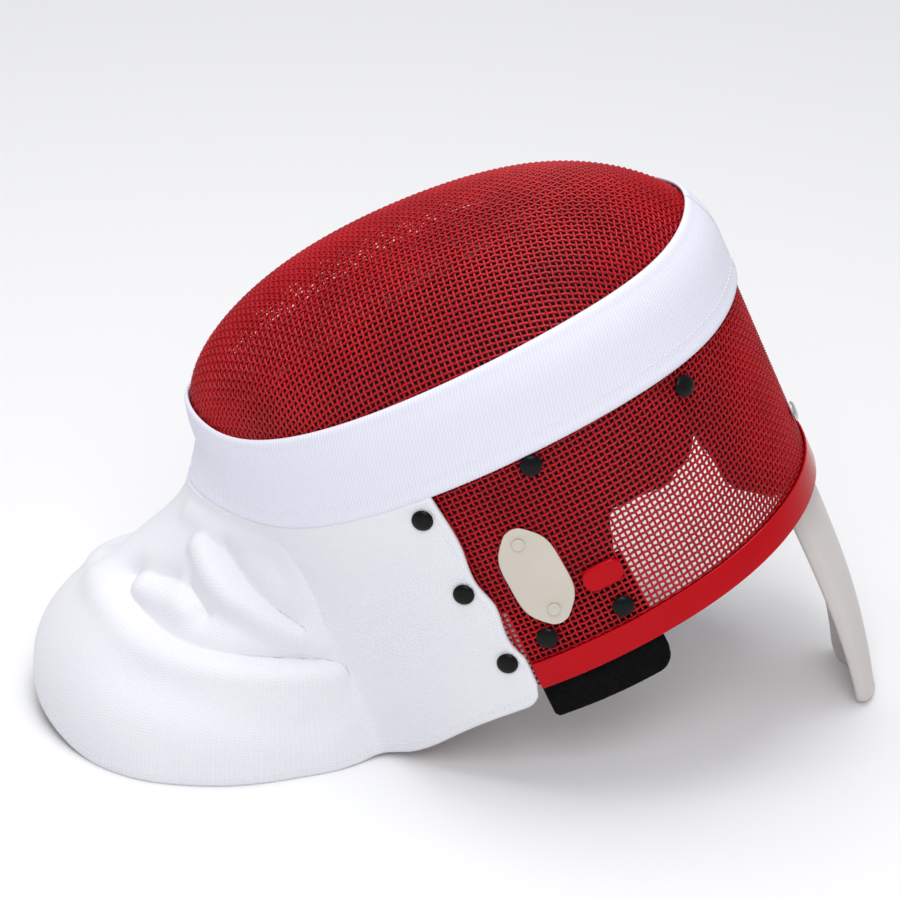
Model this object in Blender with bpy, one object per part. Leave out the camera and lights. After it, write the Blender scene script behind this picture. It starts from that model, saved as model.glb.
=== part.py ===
"""Fencing mask lying face up on its bib and its tongue.

World frame: metres, +Z up, the chin towards -X, the crown towards +X, the wearer's left
towards -Y. The mask's own frame leans back by REST_TILT: ALONG runs from the chin to the
crown, FACE points out of the face, and the mask is symmetric about the plane Y = 0.
Angles round the mask run from 0 at the chin to 180 at the crown, on each side.
"""
from collections import namedtuple
from math import cos, pi, radians, sin

import bmesh
import bpy
import numpy as np

# Driving dimensions, in metres
REST_TILT = radians(24)          # how far the chin hangs below the crown as the mask lies
SEAM_CENTRE = (0.0011, 0.0, 0.192)
SEAM_HALF_LENGTH = 0.132         # chin to crown, half, where the two meshes meet
SEAM_HALF_WIDTH = 0.088
SEAM_LIFT = 0.006                # how far the seam waves out of its plane
DOME_HEIGHT = 0.069
RIM_HALF_LENGTH = 0.132
RIM_HALF_WIDTH = 0.0995
WALL_DEPTH = 0.134               # from the seam to the rim, along the face direction
MESH_WALL = 0.0022               # two crossing wires with their paint
MESH_JOINT = 0.0006              # between the face mesh and the side mesh
JAW_ANGLE = 38                   # where the deep side wall begins, under the bib's fold
CHIN_LIP = 0.026                 # depth of the side mesh where it passes the chin

TRIM_OVER_FACE = 0.0235          # trim band's width on the face side of the seam
TRIM_OVER_SIDE = 0.0230          # and on the side wall
TRIM_WALL = 0.0016

EDGING_HEIGHT = 0.0125
EDGING_WALL = 0.0010
EDGING_END_ANGLE = 81.6          # where the bib covers the end of the edging

BIB_WALL = 0.0022
BIB_HEM_DROP = 0.0065            # how far the side tab hangs past the rim
BIB_REACH = 0.2044               # from the origin to the hem in front of the chin
BIB_HALF_WIDTH = 0.086
BIB_TIP_LIFT = 0.013             # the hem in front of the chin stands off the floor
BIB_TOP_GAP = 0.0010             # between the trim band's edge and the bib
BIB_FOLD = 0.010                 # depth of the main fold
BIB_NECK_SHORTER = 0.2           # how much sooner the cloth leaves the wall at the chin
BIB_BROW_LIFT = 0.13             # how high and how far out its hanging part bulges there,
BIB_BROW_REACH = 0.30            # as shares of the drop to the hem
FOLD_OUTWARD = 0.75              # folds stand out of the cloth in this direction
FOLD_UPWARD = 0.66
FOLD_END_FADE = 6                # how soon folds grow away from the band and from the hem
FOLD_JAW_FADE = 25               # and away from the jaw

TONGUE_WIDTH = 0.056
TONGUE_THICKNESS = 0.0125
TONGUE_BEND = 0.0065             # how far its middle stands behind its edges
TONGUE_CORNER = 0.008
TONGUE_PAST_RIM = 0.0340         # how far its foot stands behind the rim at the crown
TONGUE_FOOT_LEAN = radians(11)
TONGUE_FOOT_TURN = 0.14          # how far its foot is turned, as a share of its width
TONGUE_FOOT_THINNER = 0.30       # how much of its thickness is gone at the foot
TONGUE_ROOT_DOWN = 0.62          # its upper end inside the crown, as a share of the wall

SNAP_RADIUS = 0.0053
SNAP_HEIGHT = 0.0026
RIVET_RADIUS = 0.0050
RIVET_HEIGHT = 0.0018

PLATE_LENGTH = 0.053
PLATE_WIDTH = 0.0270
PLATE_TURN = radians(3.2)        # its lower end leans towards the crown
PLATE_WALL = 0.0008
PLATE_RIVET_RADIUS = 0.0030
PLATE_RIVET_HEIGHT = 0.0010
PLATE_RIVET_SHARE = 0.35         # of the plate's length, from its middle

BADGE_LENGTH = 0.0195
BADGE_WIDTH = 0.0105
BADGE_HEIGHT = 0.0022

PAD_THICKNESS = 0.0150
PAD_BELOW_RIM = 0.0195
PAD_EDGE_SHARE = 0.55            # its thickness at the border, of the thickness in the middle
PAD_BORDERS_ACROSS = 6           # its rounded border goes this many times into its size
PAD_BORDERS_DOWN = 5

LINING_WALL = 0.0050             # the dark padding inside the band and beside the cheeks
LINING_GAP = 0.0009              # between its outer face and the side mesh
LINING_BELOW_SEAM = 0.0070
LINING_LIP_SHARE = 0.88          # how much of the chin lip it covers
LINING_STEP = 11                 # degrees between its columns at most

SURFACE_GAP = 0.0004             # between pieces that touch

# Sections round the mask. Half widths, the lift of the seam, the height of the dome over
# the seam, and the rim's place along the mask and its depth are shares of the sizes above.
Section = namedtuple("Section", "angle seam_width seam_lift dome_height rim_along rim_width rim_depth")
SECTIONS = (
    Section(0, 0.00, 0.75, 0.00, -1.39, 0.00, 0.50),
    Section(30, 0.45, -0.92, 0.70, -0.975, 0.51, 1.05),
    Section(60, 0.84, -1.00, 1.00, -0.503, 0.83, 1.08),
    Section(90, 1.00, -0.22, 1.00, 0.00, 1.00, 1.01),
    Section(120, 0.90, 0.13, 0.84, 0.545, 0.87, 0.985),
    Section(150, 0.50, -0.35, 0.53, 0.876, 0.48, 0.98),
    Section(180, 0.00, 0.05, 0.00, 0.973, 0.00, 0.985),
)

# What is fastened to the side walls, on the side that it is on: the angle round the mask
# and the share of the way from the seam to the rim.
Spot = namedtuple("Spot", "name angle down over_bib")
SNAPS = (
    Spot("crown", 136, 0.255, False),
    Spot("temple", 99, 0.215, False),
    Spot("bib_top", 74.5, 0.24, True),
    Spot("bib_middle", 75.5, 0.555, True),
    Spot("bib_bottom", 77.5, 0.86, True),
    Spot("pad_front", 87, 0.83, False),
    Spot("pad_back", 102.7, 0.84, False),
)
PLATE_SPOT = Spot("plate", 90.3, 0.60, False)
BADGE_SPOT = Spot("badge", 101.9, 0.70, False)
CROWN_RIVET_DOWN = 0.78
BIB_FRONT_TOP = 78               # the bib's front edge, at the trim band and at the hem
BIB_FRONT_BOTTOM = 81
PAD_TOP = 0.72                   # share of the way from the seam to the rim

# The plush pads: the side of the mask, the angles where they start and end, and how round
# their back corner is, as a share of what hangs below the rim
Pad = namedtuple("Pad", "name side front back corner")
PADS = (
    Pad("jaw_pad_left", -1, 80.5, 107, 0.5),
    Pad("jaw_pad_right", 1, 80.5, 119, 1.5),
)

# The plate's outline from its middle to either end, as shares of half its length and width
Outline = namedtuple("Outline", "down width")
PLATE_OUTLINE = (
    Outline(0.00, 1.00),
    Outline(0.33, 0.99),
    Outline(0.48, 0.95),
    Outline(0.60, 0.87),
    Outline(0.70, 0.76),
    Outline(0.84, 0.53),
    Outline(0.93, 0.35),
    Outline(0.98, 0.20),
    Outline(1.00, 0.05),
)

# The lower edge of the lining round each side, as a share of the way from seam to rim:
# a cheek flap, a temple flap, a wing beside the crown and a short strip behind the tongue
Lining = namedtuple("Lining", "angle down")
LINING = (
    Lining(38, 0.18),
    Lining(44, 0.68),
    Lining(105, 0.69),
    Lining(108.5, 0.50),
    Lining(122, 0.53),
    Lining(131, 0.49),
    Lining(135, 0.42),
    Lining(137, 0.70),
    Lining(147, 0.85),
    Lining(151, 0.88),
    Lining(155, 0.88),
    Lining(159, 0.55),
    Lining(180, 0.55),
)

# The free hem from the middle of the chin to the jaw, as shares of the bib's sizes
Hem = namedtuple("Hem", "share reach half_width lift")
HEM = (
    Hem(0.00, 1.00, 0.00, 1.00),
    Hem(0.12, 0.985, 0.27, 0.70),
    Hem(0.25, 0.925, 0.56, 0.30),
    Hem(0.37, 0.845, 0.78, 0.05),
    Hem(0.50, 0.735, 0.94, 0.00),
    Hem(0.62, 0.615, 1.00, 0.00),
    Hem(0.73, 0.500, 1.00, 0.00),
    Hem(0.83, 0.385, 0.94, 0.00),
    Hem(0.92, 0.270, 0.85, 0.00),
)

# Folds in the free part of the bib. The path's places are shares of the way from chin to jaw
# and from trim band to hem, and width is in those shares. Depth is a share of BIB_FOLD, below
# zero for a valley. Sharpness is 2 for a soft fold and nearer 1 for a crease.
Fold = namedtuple("Fold", "path width depth sharpness")
FOLDS = (
    Fold(((0.12, 0.41), (0.18, 0.45), (0.35, 0.48), (0.60, 0.51), (1.00, 0.54)), 0.055, -0.75, 1.2),
    Fold(((0.28, 0.36), (0.55, 0.38), (0.85, 0.44)), 0.130, -0.80, 2.0),
    Fold(((0.16, 0.54), (0.30, 0.56), (0.60, 0.60), (0.92, 0.63)), 0.070, 0.45, 2.0),
    Fold(((0.40, 0.17), (0.60, 0.27), (0.86, 0.47)), 0.052, 0.75, 1.7),
    Fold(((0.24, 0.37), (0.32, 0.38), (0.44, 0.45)), 0.055, 0.45, 2.0),
    Fold(((0.40, 0.65), (0.62, 0.69), (0.88, 0.76)), 0.060, -0.30, 2.0),
    Fold(((0.93, 0.12), (0.95, 0.45)), 0.050, 0.35, 2.0),
    Fold(((0.20, 0.13), (0.50, 0.11), (0.85, 0.09)), 0.050, 0.30, 2.0),
)

ALONG = np.array([cos(REST_TILT), 0.0, sin(REST_TILT)])
FACE = np.array([-sin(REST_TILT), 0.0, cos(REST_TILT)])
ACROSS = np.array([0.0, 1.0, 0.0])
CENTRE = np.array(SEAM_CENTRE)


def smooth_column(name):
    """A cubic curve through one column of SECTIONS, mirrored about the chin and the crown."""
    values = np.array([getattr(section, name) for section in SECTIONS])
    mirror = -1 if values[0] == 0 and values[-1] == 0 else 1
    ring = np.concatenate([values, mirror * values[-2:0:-1]])
    count = len(ring)
    spacing = 2 * pi / count
    bends = np.eye(count) * 4
    bends += np.roll(np.eye(count), 1, axis=0) + np.roll(np.eye(count), -1, axis=0)
    curve = np.linalg.solve(bends, 6 * (np.roll(ring, -1) - 2 * ring + np.roll(ring, 1)))

    def value(angle):
        position = np.atleast_1d(angle) / spacing
        before = np.floor(position).astype(int)
        part = position - before
        before = before % count
        after = (before + 1) % count
        left = 1 - part
        return (ring[before] * left + ring[after] * part
                + curve[before] * (left ** 3 - left) / 6 + curve[after] * (part ** 3 - part) / 6)

    return value


seam_width = smooth_column("seam_width")
seam_lift = smooth_column("seam_lift")
dome_height = smooth_column("dome_height")
rim_along = smooth_column("rim_along")
rim_width = smooth_column("rim_width")
rim_depth = smooth_column("rim_depth")


def place(along, across, face):
    """World points from distances along, across and out of the mask's face."""
    return (CENTRE + np.multiply.outer(along, ALONG) + np.multiply.outer(across, ACROSS)
            + np.multiply.outer(face, FACE))


def seam_points(turn):
    """The seam between the two meshes, at angles round the mask (below zero on the left)."""
    turn = np.atleast_1d(turn)
    return place(-SEAM_HALF_LENGTH * np.cos(turn), SEAM_HALF_WIDTH * seam_width(turn),
                 SEAM_LIFT * seam_lift(turn))


def rim_points(turn):
    turn = np.atleast_1d(turn)
    return place(RIM_HALF_LENGTH * rim_along(turn), RIM_HALF_WIDTH * rim_width(turn),
                 -WALL_DEPTH * rim_depth(turn))


def wall_points(turn, distance):
    """Points of the side wall's outer face, a distance below the seam."""
    top = seam_points(turn)
    slope = rim_points(turn) - top
    slope /= np.linalg.norm(slope, axis=-1, keepdims=True)
    return top + slope * np.atleast_1d(distance)[:, None]


def wall_length(turn):
    return np.linalg.norm(rim_points(turn) - seam_points(turn), axis=-1)


def wall_reach(turn, distance):
    """How far one radian round the mask reaches along the wall."""
    step = 1e-3
    ahead = wall_points(turn + step, distance)[0]
    behind = wall_points(turn - step, distance)[0]
    return np.linalg.norm(ahead - behind) / (2 * step)


def wall_frame(turn, distance):
    """One point of the side wall, with its directions round, down and out."""
    step = 1e-4
    point = wall_points(turn, distance)[0]
    around = wall_points(turn + step, distance)[0] - wall_points(turn - step, distance)[0]
    down = wall_points(turn, distance + step)[0] - point
    around /= np.linalg.norm(around)
    down /= np.linalg.norm(down)
    out = np.cross(around, down)
    out /= np.linalg.norm(out)
    return point, around, down, out


def dome_face(along, across):
    """Height of the dome's outer face over the seam's plane."""
    turn = np.arccos(np.clip(-along / SEAM_HALF_LENGTH, -1, 1))
    half_width = np.maximum(SEAM_HALF_WIDTH * seam_width(turn), 1e-9)
    bow = np.sqrt(np.clip(1 - (across / half_width) ** 2, 0, 1))
    return SEAM_LIFT * seam_lift(turn) + DOME_HEIGHT * dome_height(turn) * bow


def dome_climb(turn, distances):
    """Points of the dome's outer face, distances up from the seam and square to it."""
    step = 1e-3
    seam = seam_points(turn)[0] - CENTRE
    before = seam_points(turn - step)[0]
    after = seam_points(turn + step)[0]
    along_step = (after - before) @ ALONG
    across_step = (after - before) @ ACROSS
    inward = np.array([-across_step, along_step])
    inward /= np.linalg.norm(inward)
    if inward @ np.array([seam @ ALONG, seam @ ACROSS]) > 0:
        inward = -inward
    inset = np.linspace(0, 1, 400) ** 2 * SEAM_HALF_WIDTH * 0.9
    along = seam @ ALONG + inset * inward[0]
    across = seam @ ACROSS + inset * inward[1]
    points = place(along, across, dome_face(along, across))
    points[0] = seam_points(turn)[0]
    run = np.concatenate([[0], np.cumsum(np.linalg.norm(np.diff(points, axis=0), axis=1))])
    return np.stack([np.interp(distances, run, points[:, axis]) for axis in range(3)], axis=-1)


def grid_faces(rows, columns, closed=False):
    """Quads of a grid of points, which may close on itself along its rows."""
    faces = []
    for row in range(rows if closed else rows - 1):
        for column in range(columns - 1):
            below = (row + 1) % rows
            faces.append((row * columns + column, below * columns + column,
                          below * columns + column + 1, row * columns + column + 1))
    return faces


def tube_faces(rings, corners):
    """Quads between rings of points, and one face over each end."""
    faces = []
    for ring in range(rings - 1):
        for corner in range(corners):
            beside = (corner + 1) % corners
            faces.append((ring * corners + corner, ring * corners + beside,
                          (ring + 1) * corners + beside, (ring + 1) * corners + corner))
    last = (rings - 1) * corners
    faces.append(tuple(range(corners)))
    faces.append(tuple(reversed(range(last, last + corners))))
    return faces


def merge_points(points, faces):
    """The same surface without doubled points and without faces that have shrunk to a line."""
    index = {}
    renumber = []
    kept = []
    for point in points:
        key = tuple(np.round(point, 7))
        if key not in index:
            index[key] = len(kept)
            kept.append(point)
        renumber.append(index[key])
    clean = []
    for face in faces:
        corners = []
        for corner in face:
            number = renumber[corner]
            if number not in corners:
                corners.append(number)
        if len(corners) > 2:
            clean.append(tuple(corners))
    return np.array(kept), clean, renumber


def point_normals(points, faces):
    normals = np.zeros_like(points)
    for face in faces:
        corners = points[list(face)]
        middle = corners.mean(axis=0)
        area = np.zeros(3)
        for near, far in zip(corners, np.roll(corners, -1, axis=0)):
            area += np.cross(near - middle, far - middle)
        area /= np.linalg.norm(area) + 1e-18
        for corner in face:
            normals[corner] += area
    return normals / (np.linalg.norm(normals, axis=1, keepdims=True) + 1e-18)


def thick_sheet(points, faces, low, high):
    """Closed solid between two faces that lie low and high along the surface's normals."""
    count = len(points)
    low = np.broadcast_to(low, count)
    high = np.broadcast_to(high, count)
    points, faces, renumber = merge_points(points, faces)
    low_kept = np.zeros(len(points))
    high_kept = np.zeros(len(points))
    low_kept[renumber] = low
    high_kept[renumber] = high
    normals = point_normals(points, faces)
    count = len(points)
    solid_points = np.concatenate([points + normals * high_kept[:, None],
                                   points + normals * low_kept[:, None]])
    solid_faces = list(faces)
    solid_faces += [tuple(corner + count for corner in reversed(face)) for face in faces]
    edges = {}
    for face in faces:
        for start, end in zip(face, face[1:] + face[:1]):
            edges[(start, end)] = edges.get((start, end), 0) + 1
    for start, end in edges:
        if (end, start) not in edges:
            solid_faces.append((end, start, start + count, end + count))
    return solid_points, solid_faces


def material(name, colour, roughness, metallic=0.0):
    made = bpy.data.materials.new(name)
    made.use_nodes = True
    shader = made.node_tree.nodes["Principled BSDF"]
    shader.inputs["Base Color"].default_value = (*colour, 1.0)
    shader.inputs["Roughness"].default_value = roughness
    shader.inputs["Metallic"].default_value = metallic
    return made


def add_piece(name, points, faces, finish, sharp_angle=40):
    """One sub-part as an object, with its faces pointing out and its round sides smooth."""
    mesh = bpy.data.meshes.new(name)
    mesh.from_pydata([tuple(point) for point in points], [], faces)
    shell = bmesh.new()
    shell.from_mesh(mesh)
    loose = [vertex for vertex in shell.verts if not vertex.link_faces]
    bmesh.ops.delete(shell, geom=loose, context="VERTS")
    bmesh.ops.recalc_face_normals(shell, faces=shell.faces)
    shell.to_mesh(mesh)
    shell.free()
    mesh.shade_smooth()
    mesh.set_sharp_from_angle(angle=radians(sharp_angle))
    mesh.materials.append(finish)
    piece = bpy.data.objects.new(name, mesh)
    bpy.context.scene.collection.objects.link(piece)
    return piece


def make_face_mesh(finish):
    """The dome over the face, as an open shell with arched sections from chin to crown."""
    stations = 30
    arch_points = 17
    points = []
    for turn in np.linspace(0, pi, stations + 1):
        along = -SEAM_HALF_LENGTH * cos(turn)
        half_width = SEAM_HALF_WIDTH * seam_width(turn)[0]
        lift = SEAM_LIFT * seam_lift(turn)[0] + MESH_JOINT
        height = DOME_HEIGHT * dome_height(turn)[0]
        for arch in np.linspace(0, pi, arch_points):
            across = -half_width * cos(arch)
            points.append(place(along, across, lift + height * sin(arch)))
    faces = grid_faces(stations + 1, arch_points)
    add_piece("face_mesh", *thick_sheet(np.array(points), faces, -MESH_WALL, 0), finish)


def make_side_mesh(finish):
    """The wall round the head: full depth from jaw to jaw over the crown, a lip at the chin."""
    free = np.linspace(-JAW_ANGLE, JAW_ANGLE, 13)
    deep = np.linspace(JAW_ANGLE, 360 - JAW_ANGLE, 45)[1:-1]
    turns = np.radians(np.concatenate([free, deep]))
    lip_rows = 3
    rows = 6
    points = []
    for turn in turns:
        length = wall_length(turn)[0]
        lip = np.linspace(0, CHIN_LIP, lip_rows)
        below = np.linspace(CHIN_LIP, length, rows - lip_rows + 1)[1:]
        for distance in np.concatenate([lip, below]):
            points.append(wall_points(turn, distance)[0])
    faces = []
    for face in grid_faces(len(turns), rows, closed=True):
        column = face[0] // rows
        row = face[0] % rows
        in_free_part = column < len(free) - 1
        if in_free_part and row >= lip_rows - 1:
            continue
        faces.append(face)
    add_piece("side_mesh", *thick_sheet(np.array(points), faces, -MESH_WALL, 0), finish)


def make_trim_band(finish):
    """The cloth band over the seam, all the way round."""
    turns = np.radians(np.linspace(-180, 180, 61)[:-1])
    on_face = np.linspace(0, TRIM_OVER_FACE, 4)[1:]
    on_side = np.linspace(TRIM_OVER_SIDE, 0, 4)
    points = []
    for turn in turns:
        points.extend(dome_climb(turn, on_face)[::-1])
        points.extend(wall_points(turn, distance)[0] for distance in on_side[::-1])
    columns = len(on_face) + len(on_side)
    faces = grid_faces(len(turns), columns, closed=True)
    low = SURFACE_GAP * 1.5
    add_piece("trim_band", *thick_sheet(np.array(points), faces, low, low + TRIM_WALL), finish)


def make_lining(finish):
    """The padding inside the side mesh: a strip behind the band with flaps at each side."""
    rows = 4
    edge_angles = [row.angle for row in LINING]
    edge_downs = [row.down for row in LINING]
    chin = list(np.linspace(-JAW_ANGLE, JAW_ANGLE, 9)[1:-1])
    one_side = []
    for before, after in zip(edge_angles[:-1], edge_angles[1:]):
        steps = int(np.ceil((after - before) / LINING_STEP))
        one_side += list(np.linspace(before, after, steps, endpoint=False))
    angles = [-angle for angle in reversed(one_side)] + chin + one_side + [180]
    points = []
    for angle in angles:
        turn = radians(angle)
        if abs(angle) < JAW_ANGLE:
            bottom = CHIN_LIP * LINING_LIP_SHARE
        else:
            bottom = wall_length(turn)[0] * np.interp(abs(angle), edge_angles, edge_downs)
        for distance in np.linspace(LINING_BELOW_SEAM, bottom, rows):
            points.append(wall_points(turn, distance)[0])
    faces = grid_faces(len(angles), rows, closed=True)
    high = -MESH_WALL - LINING_GAP
    add_piece("lining", *thick_sheet(np.array(points), faces, high - LINING_WALL, high), finish, 60)


def make_rim_edging(finish):
    """The channel folded over the rim of the side mesh, from bib to bib over the crown."""
    turns = np.radians(np.linspace(EDGING_END_ANGLE, 360 - EDGING_END_ANGLE, 41))
    slot_out = SURFACE_GAP
    slot_in = -MESH_WALL - SURFACE_GAP
    bottom = SURFACE_GAP + EDGING_WALL
    corner = EDGING_WALL * 0.6
    profile = (
        (slot_out, -EDGING_HEIGHT),
        (slot_out, SURFACE_GAP),
        (slot_in, SURFACE_GAP),
        (slot_in, -EDGING_HEIGHT),
        (slot_in - EDGING_WALL, -EDGING_HEIGHT),
        (slot_in - EDGING_WALL, bottom - corner),
        (slot_in - EDGING_WALL + corner, bottom),
        (slot_out + EDGING_WALL - corner, bottom),
        (slot_out + EDGING_WALL, bottom - corner),
        (slot_out + EDGING_WALL, -EDGING_HEIGHT),
    )
    points = []
    for turn in turns:
        rim, _, down, out = wall_frame(turn, wall_length(turn)[0])
        points.extend(rim + out * outward + down * drop for outward, drop in profile)
    add_piece("rim_edging", points, tube_faces(len(turns), len(profile)), finish)


def fold_height(share, down):
    """How far the cloth stands out of its plain form, from the table of folds."""
    spot = np.array([share, down])
    height = 0.0
    for fold in FOLDS:
        path = np.array(fold.path)
        nearest = 1.0
        for start, end in zip(path[:-1], path[1:]):
            run = end - start
            part = np.clip((spot - start) @ run / (run @ run), 0, 1)
            nearest = min(nearest, np.linalg.norm(spot - start - part * run))
        height += fold.depth * np.exp(-(nearest / fold.width) ** fold.sharpness)
    return height * BIB_FOLD


def hem_point(share, side):
    """The free hem between the middle of the chin and the jaw."""
    jaw_turn = radians(JAW_ANGLE) * side
    jaw = wall_points(jaw_turn, wall_length(jaw_turn)[0] + BIB_HEM_DROP)[0]
    rows = [(hem.share, -BIB_REACH * hem.reach, side * BIB_HALF_WIDTH * hem.half_width,
             BIB_TIP_LIFT * hem.lift) for hem in HEM]
    rows.append((1.0, jaw[0], jaw[1], jaw[2]))
    rows = np.array(rows)
    return np.array([np.interp(share, rows[:, 0], rows[:, axis]) for axis in (1, 2, 3)])


def free_bib_point(share, side, down):
    """The hanging part of the bib: share 0 at the middle of the chin, 1 at the jaw."""
    turn = radians(JAW_ANGLE) * share * side
    top = wall_points(turn, TRIM_OVER_SIDE + BIB_TOP_GAP)[0]
    hem = hem_point(share, side)
    drop = hem - top
    outward = np.array([drop[0], drop[1], 0.0])
    outward /= np.linalg.norm(outward)
    height = -drop[2]
    freedom = 1 - share ** 3
    slope = wall_frame(turn, TRIM_OVER_SIDE)[2]
    neck = top + slope * np.linalg.norm(drop) / 3 * (1 - BIB_NECK_SHORTER * freedom)
    bulge = outward * BIB_BROW_REACH + np.array([0.0, 0.0, BIB_BROW_LIFT])
    brow = top + drop * 2 / 3 + bulge * height * freedom
    rest = 1 - down
    point = (rest ** 3 * top + 3 * rest ** 2 * down * neck
             + 3 * rest * down ** 2 * brow + down ** 3 * hem)
    ends = min(1.0, FOLD_END_FADE * down * rest)
    beside_jaw = min(1.0, (1 - share) * FOLD_JAW_FADE)
    away = outward * FOLD_OUTWARD + np.array([0.0, 0.0, FOLD_UPWARD])
    return point + away * fold_height(share, down) * ends * beside_jaw


def make_bib(finish):
    """The cloth bib: a tight tab on each side wall, and the folded free part between them."""
    rows = 13
    tab_columns = 5
    free_columns = 19
    downs = np.linspace(0, 1, rows)
    points = []
    for share in np.linspace(-1, 1, 2 * free_columns + 1):
        side = -1 if share < 0 else 1
        points.append([free_bib_point(abs(share), side, down) for down in downs])
    for side in (-1, 1):
        for column in range(1, tab_columns + 1):
            line = []
            for down in downs:
                front = BIB_FRONT_TOP + (BIB_FRONT_BOTTOM - BIB_FRONT_TOP) * down
                turn = side * radians(JAW_ANGLE + (front - JAW_ANGLE) * column / tab_columns)
                start = TRIM_OVER_SIDE + BIB_TOP_GAP
                end = wall_length(turn)[0] + BIB_HEM_DROP
                line.append(wall_points(turn, start + (end - start) * down)[0])
            if side < 0:
                points.insert(0, line)
            else:
                points.append(line)
    points = np.array(points).reshape(-1, 3)
    faces = grid_faces(len(points) // rows, rows)
    cloth, cloth_faces = thick_sheet(points, faces, SURFACE_GAP, SURFACE_GAP + BIB_WALL)
    cloth[:, 2] = np.maximum(cloth[:, 2], 0.0)
    add_piece("bib", cloth, cloth_faces, finish, 60)


def make_tongue(finish):
    """The padded tongue behind the head, from inside the crown's wall down to the floor."""
    crown = pi
    inset = MESH_WALL + EDGING_WALL + 2 * SURFACE_GAP + TONGUE_THICKNESS / 2
    root, _, down, out = wall_frame(crown, wall_length(crown)[0] * TONGUE_ROOT_DOWN)
    start = root - out * inset
    foot = np.array([rim_points(crown)[0][0] + TONGUE_PAST_RIM, 0.0, 0.0])
    reach = np.linalg.norm(foot - start) / 3
    heading = np.array([sin(TONGUE_FOOT_LEAN), 0.0, -cos(TONGUE_FOOT_LEAN)])
    handles = (start, start + down * reach, foot - heading * reach, foot)
    corners = 14
    side_roundness = 0.35
    face_roundness = 0.60
    points = []
    stations = np.linspace(0, 1, 17)
    for station in stations:
        rest = 1 - station
        middle = (rest ** 3 * handles[0] + 3 * rest ** 2 * station * handles[1]
                  + 3 * rest * station ** 2 * handles[2] + station ** 3 * handles[3])
        back = out * rest + np.array([1.0, 0.0, 0.0]) * station
        back[1] = 0
        back /= np.linalg.norm(back)
        to_end = min(station, rest) * np.linalg.norm(foot - start)
        corner = max(0.0, 1 - to_end / TONGUE_CORNER)
        half_width = TONGUE_WIDTH / 2 - TONGUE_CORNER * (1 - np.sqrt(1 - corner ** 2))
        half_depth = TONGUE_THICKNESS / 2 * (1 - TONGUE_FOOT_THINNER * station ** 3)
        turn = TONGUE_FOOT_TURN * station ** 3
        for angle in np.linspace(0, 2 * pi, corners, endpoint=False):
            wide = np.sign(cos(angle)) * abs(cos(angle)) ** side_roundness
            deep = np.sign(sin(angle)) * abs(sin(angle)) ** face_roundness
            off_middle = deep * half_depth - TONGUE_BEND * wide ** 2 - turn * (1 + wide) * half_width
            points.append(middle + ACROSS * wide * half_width + back * off_middle)
    add_piece("tongue", points, tube_faces(len(stations), corners), finish)


def make_button(name, spot_turn, distance, stand_off, radius, height, finish, segments=12):
    """A domed disc that stands on the side wall, such as a snap or a rivet head."""
    point, around, down, out = wall_frame(spot_turn, distance)
    base = point + out * stand_off
    profile = ((0.92, 0.0), (1.0, 0.35), (0.72, 0.86), (0.25, 1.0))
    points = []
    for radius_share, height_share in profile:
        for angle in np.linspace(0, 2 * pi, segments, endpoint=False):
            spoke = around * cos(angle) + down * sin(angle)
            points.append(base + spoke * radius * radius_share + out * height * height_share)
    add_piece(name, points, tube_faces(len(profile), segments), finish)


def near_spot(spot, side, around, down):
    """The angle and the distance below the seam, a little way round and down from a spot."""
    turn = side * radians(spot.angle)
    distance = wall_length(turn)[0] * spot.down
    return turn + around / wall_reach(turn, distance), distance + down


def wall_patch(spot, side, lines):
    """Points on the side wall near a spot, for lines of distances round and down the wall."""
    return np.array([wall_points(*near_spot(spot, side, around, down))[0]
                     for line in lines for around, down in line])


def turn_on_plate(across, down):
    """A place on the plate, in its own lengths, as distances round and down the wall."""
    return (across * cos(PLATE_TURN) - down * sin(PLATE_TURN),
            across * sin(PLATE_TURN) + down * cos(PLATE_TURN))


def make_plate(finish):
    """The bare label plate with a rivet near each end, on the left wall."""
    columns = 5
    side = -1
    ends = [(-row.down, row.width) for row in reversed(PLATE_OUTLINE[1:])]
    ends += [(row.down, row.width) for row in PLATE_OUTLINE]
    lines = []
    for down, width in ends:
        lines.append([turn_on_plate(across * width * PLATE_WIDTH / 2, down * PLATE_LENGTH / 2)
                      for across in np.linspace(-1, 1, columns)])
    faces = [tuple(reversed(face)) for face in grid_faces(len(ends), columns)]
    solid = thick_sheet(wall_patch(PLATE_SPOT, side, lines), faces, SURFACE_GAP,
                        SURFACE_GAP + PLATE_WALL)
    add_piece("label_plate", *solid, finish)
    stand_off = 2 * SURFACE_GAP + PLATE_WALL
    for name, share in (("upper", -PLATE_RIVET_SHARE), ("lower", PLATE_RIVET_SHARE)):
        turn, distance = near_spot(PLATE_SPOT, side, *turn_on_plate(0.0, share * PLATE_LENGTH))
        make_button(f"plate_rivet_{name}", turn, distance, stand_off,
                    PLATE_RIVET_RADIUS, PLATE_RIVET_HEIGHT, finish, 10)


def make_badge(finish):
    """The small bare pill-shaped badge beside the plate."""
    rows = 5
    columns = 11
    side = -1
    straight = BADGE_LENGTH - BADGE_WIDTH
    lines = []
    for around in np.linspace(-BADGE_LENGTH / 2, BADGE_LENGTH / 2, columns):
        in_end = max(0.0, abs(around) - straight / 2)
        half_height = np.sqrt(max(0.0, (BADGE_WIDTH / 2) ** 2 - in_end ** 2))
        lines.append([(around, down * half_height) for down in np.linspace(-1, 1, rows)])
    solid = thick_sheet(wall_patch(BADGE_SPOT, side, lines), grid_faces(columns, rows),
                        SURFACE_GAP, SURFACE_GAP + BADGE_HEIGHT)
    add_piece("side_badge", *solid, finish)


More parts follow.
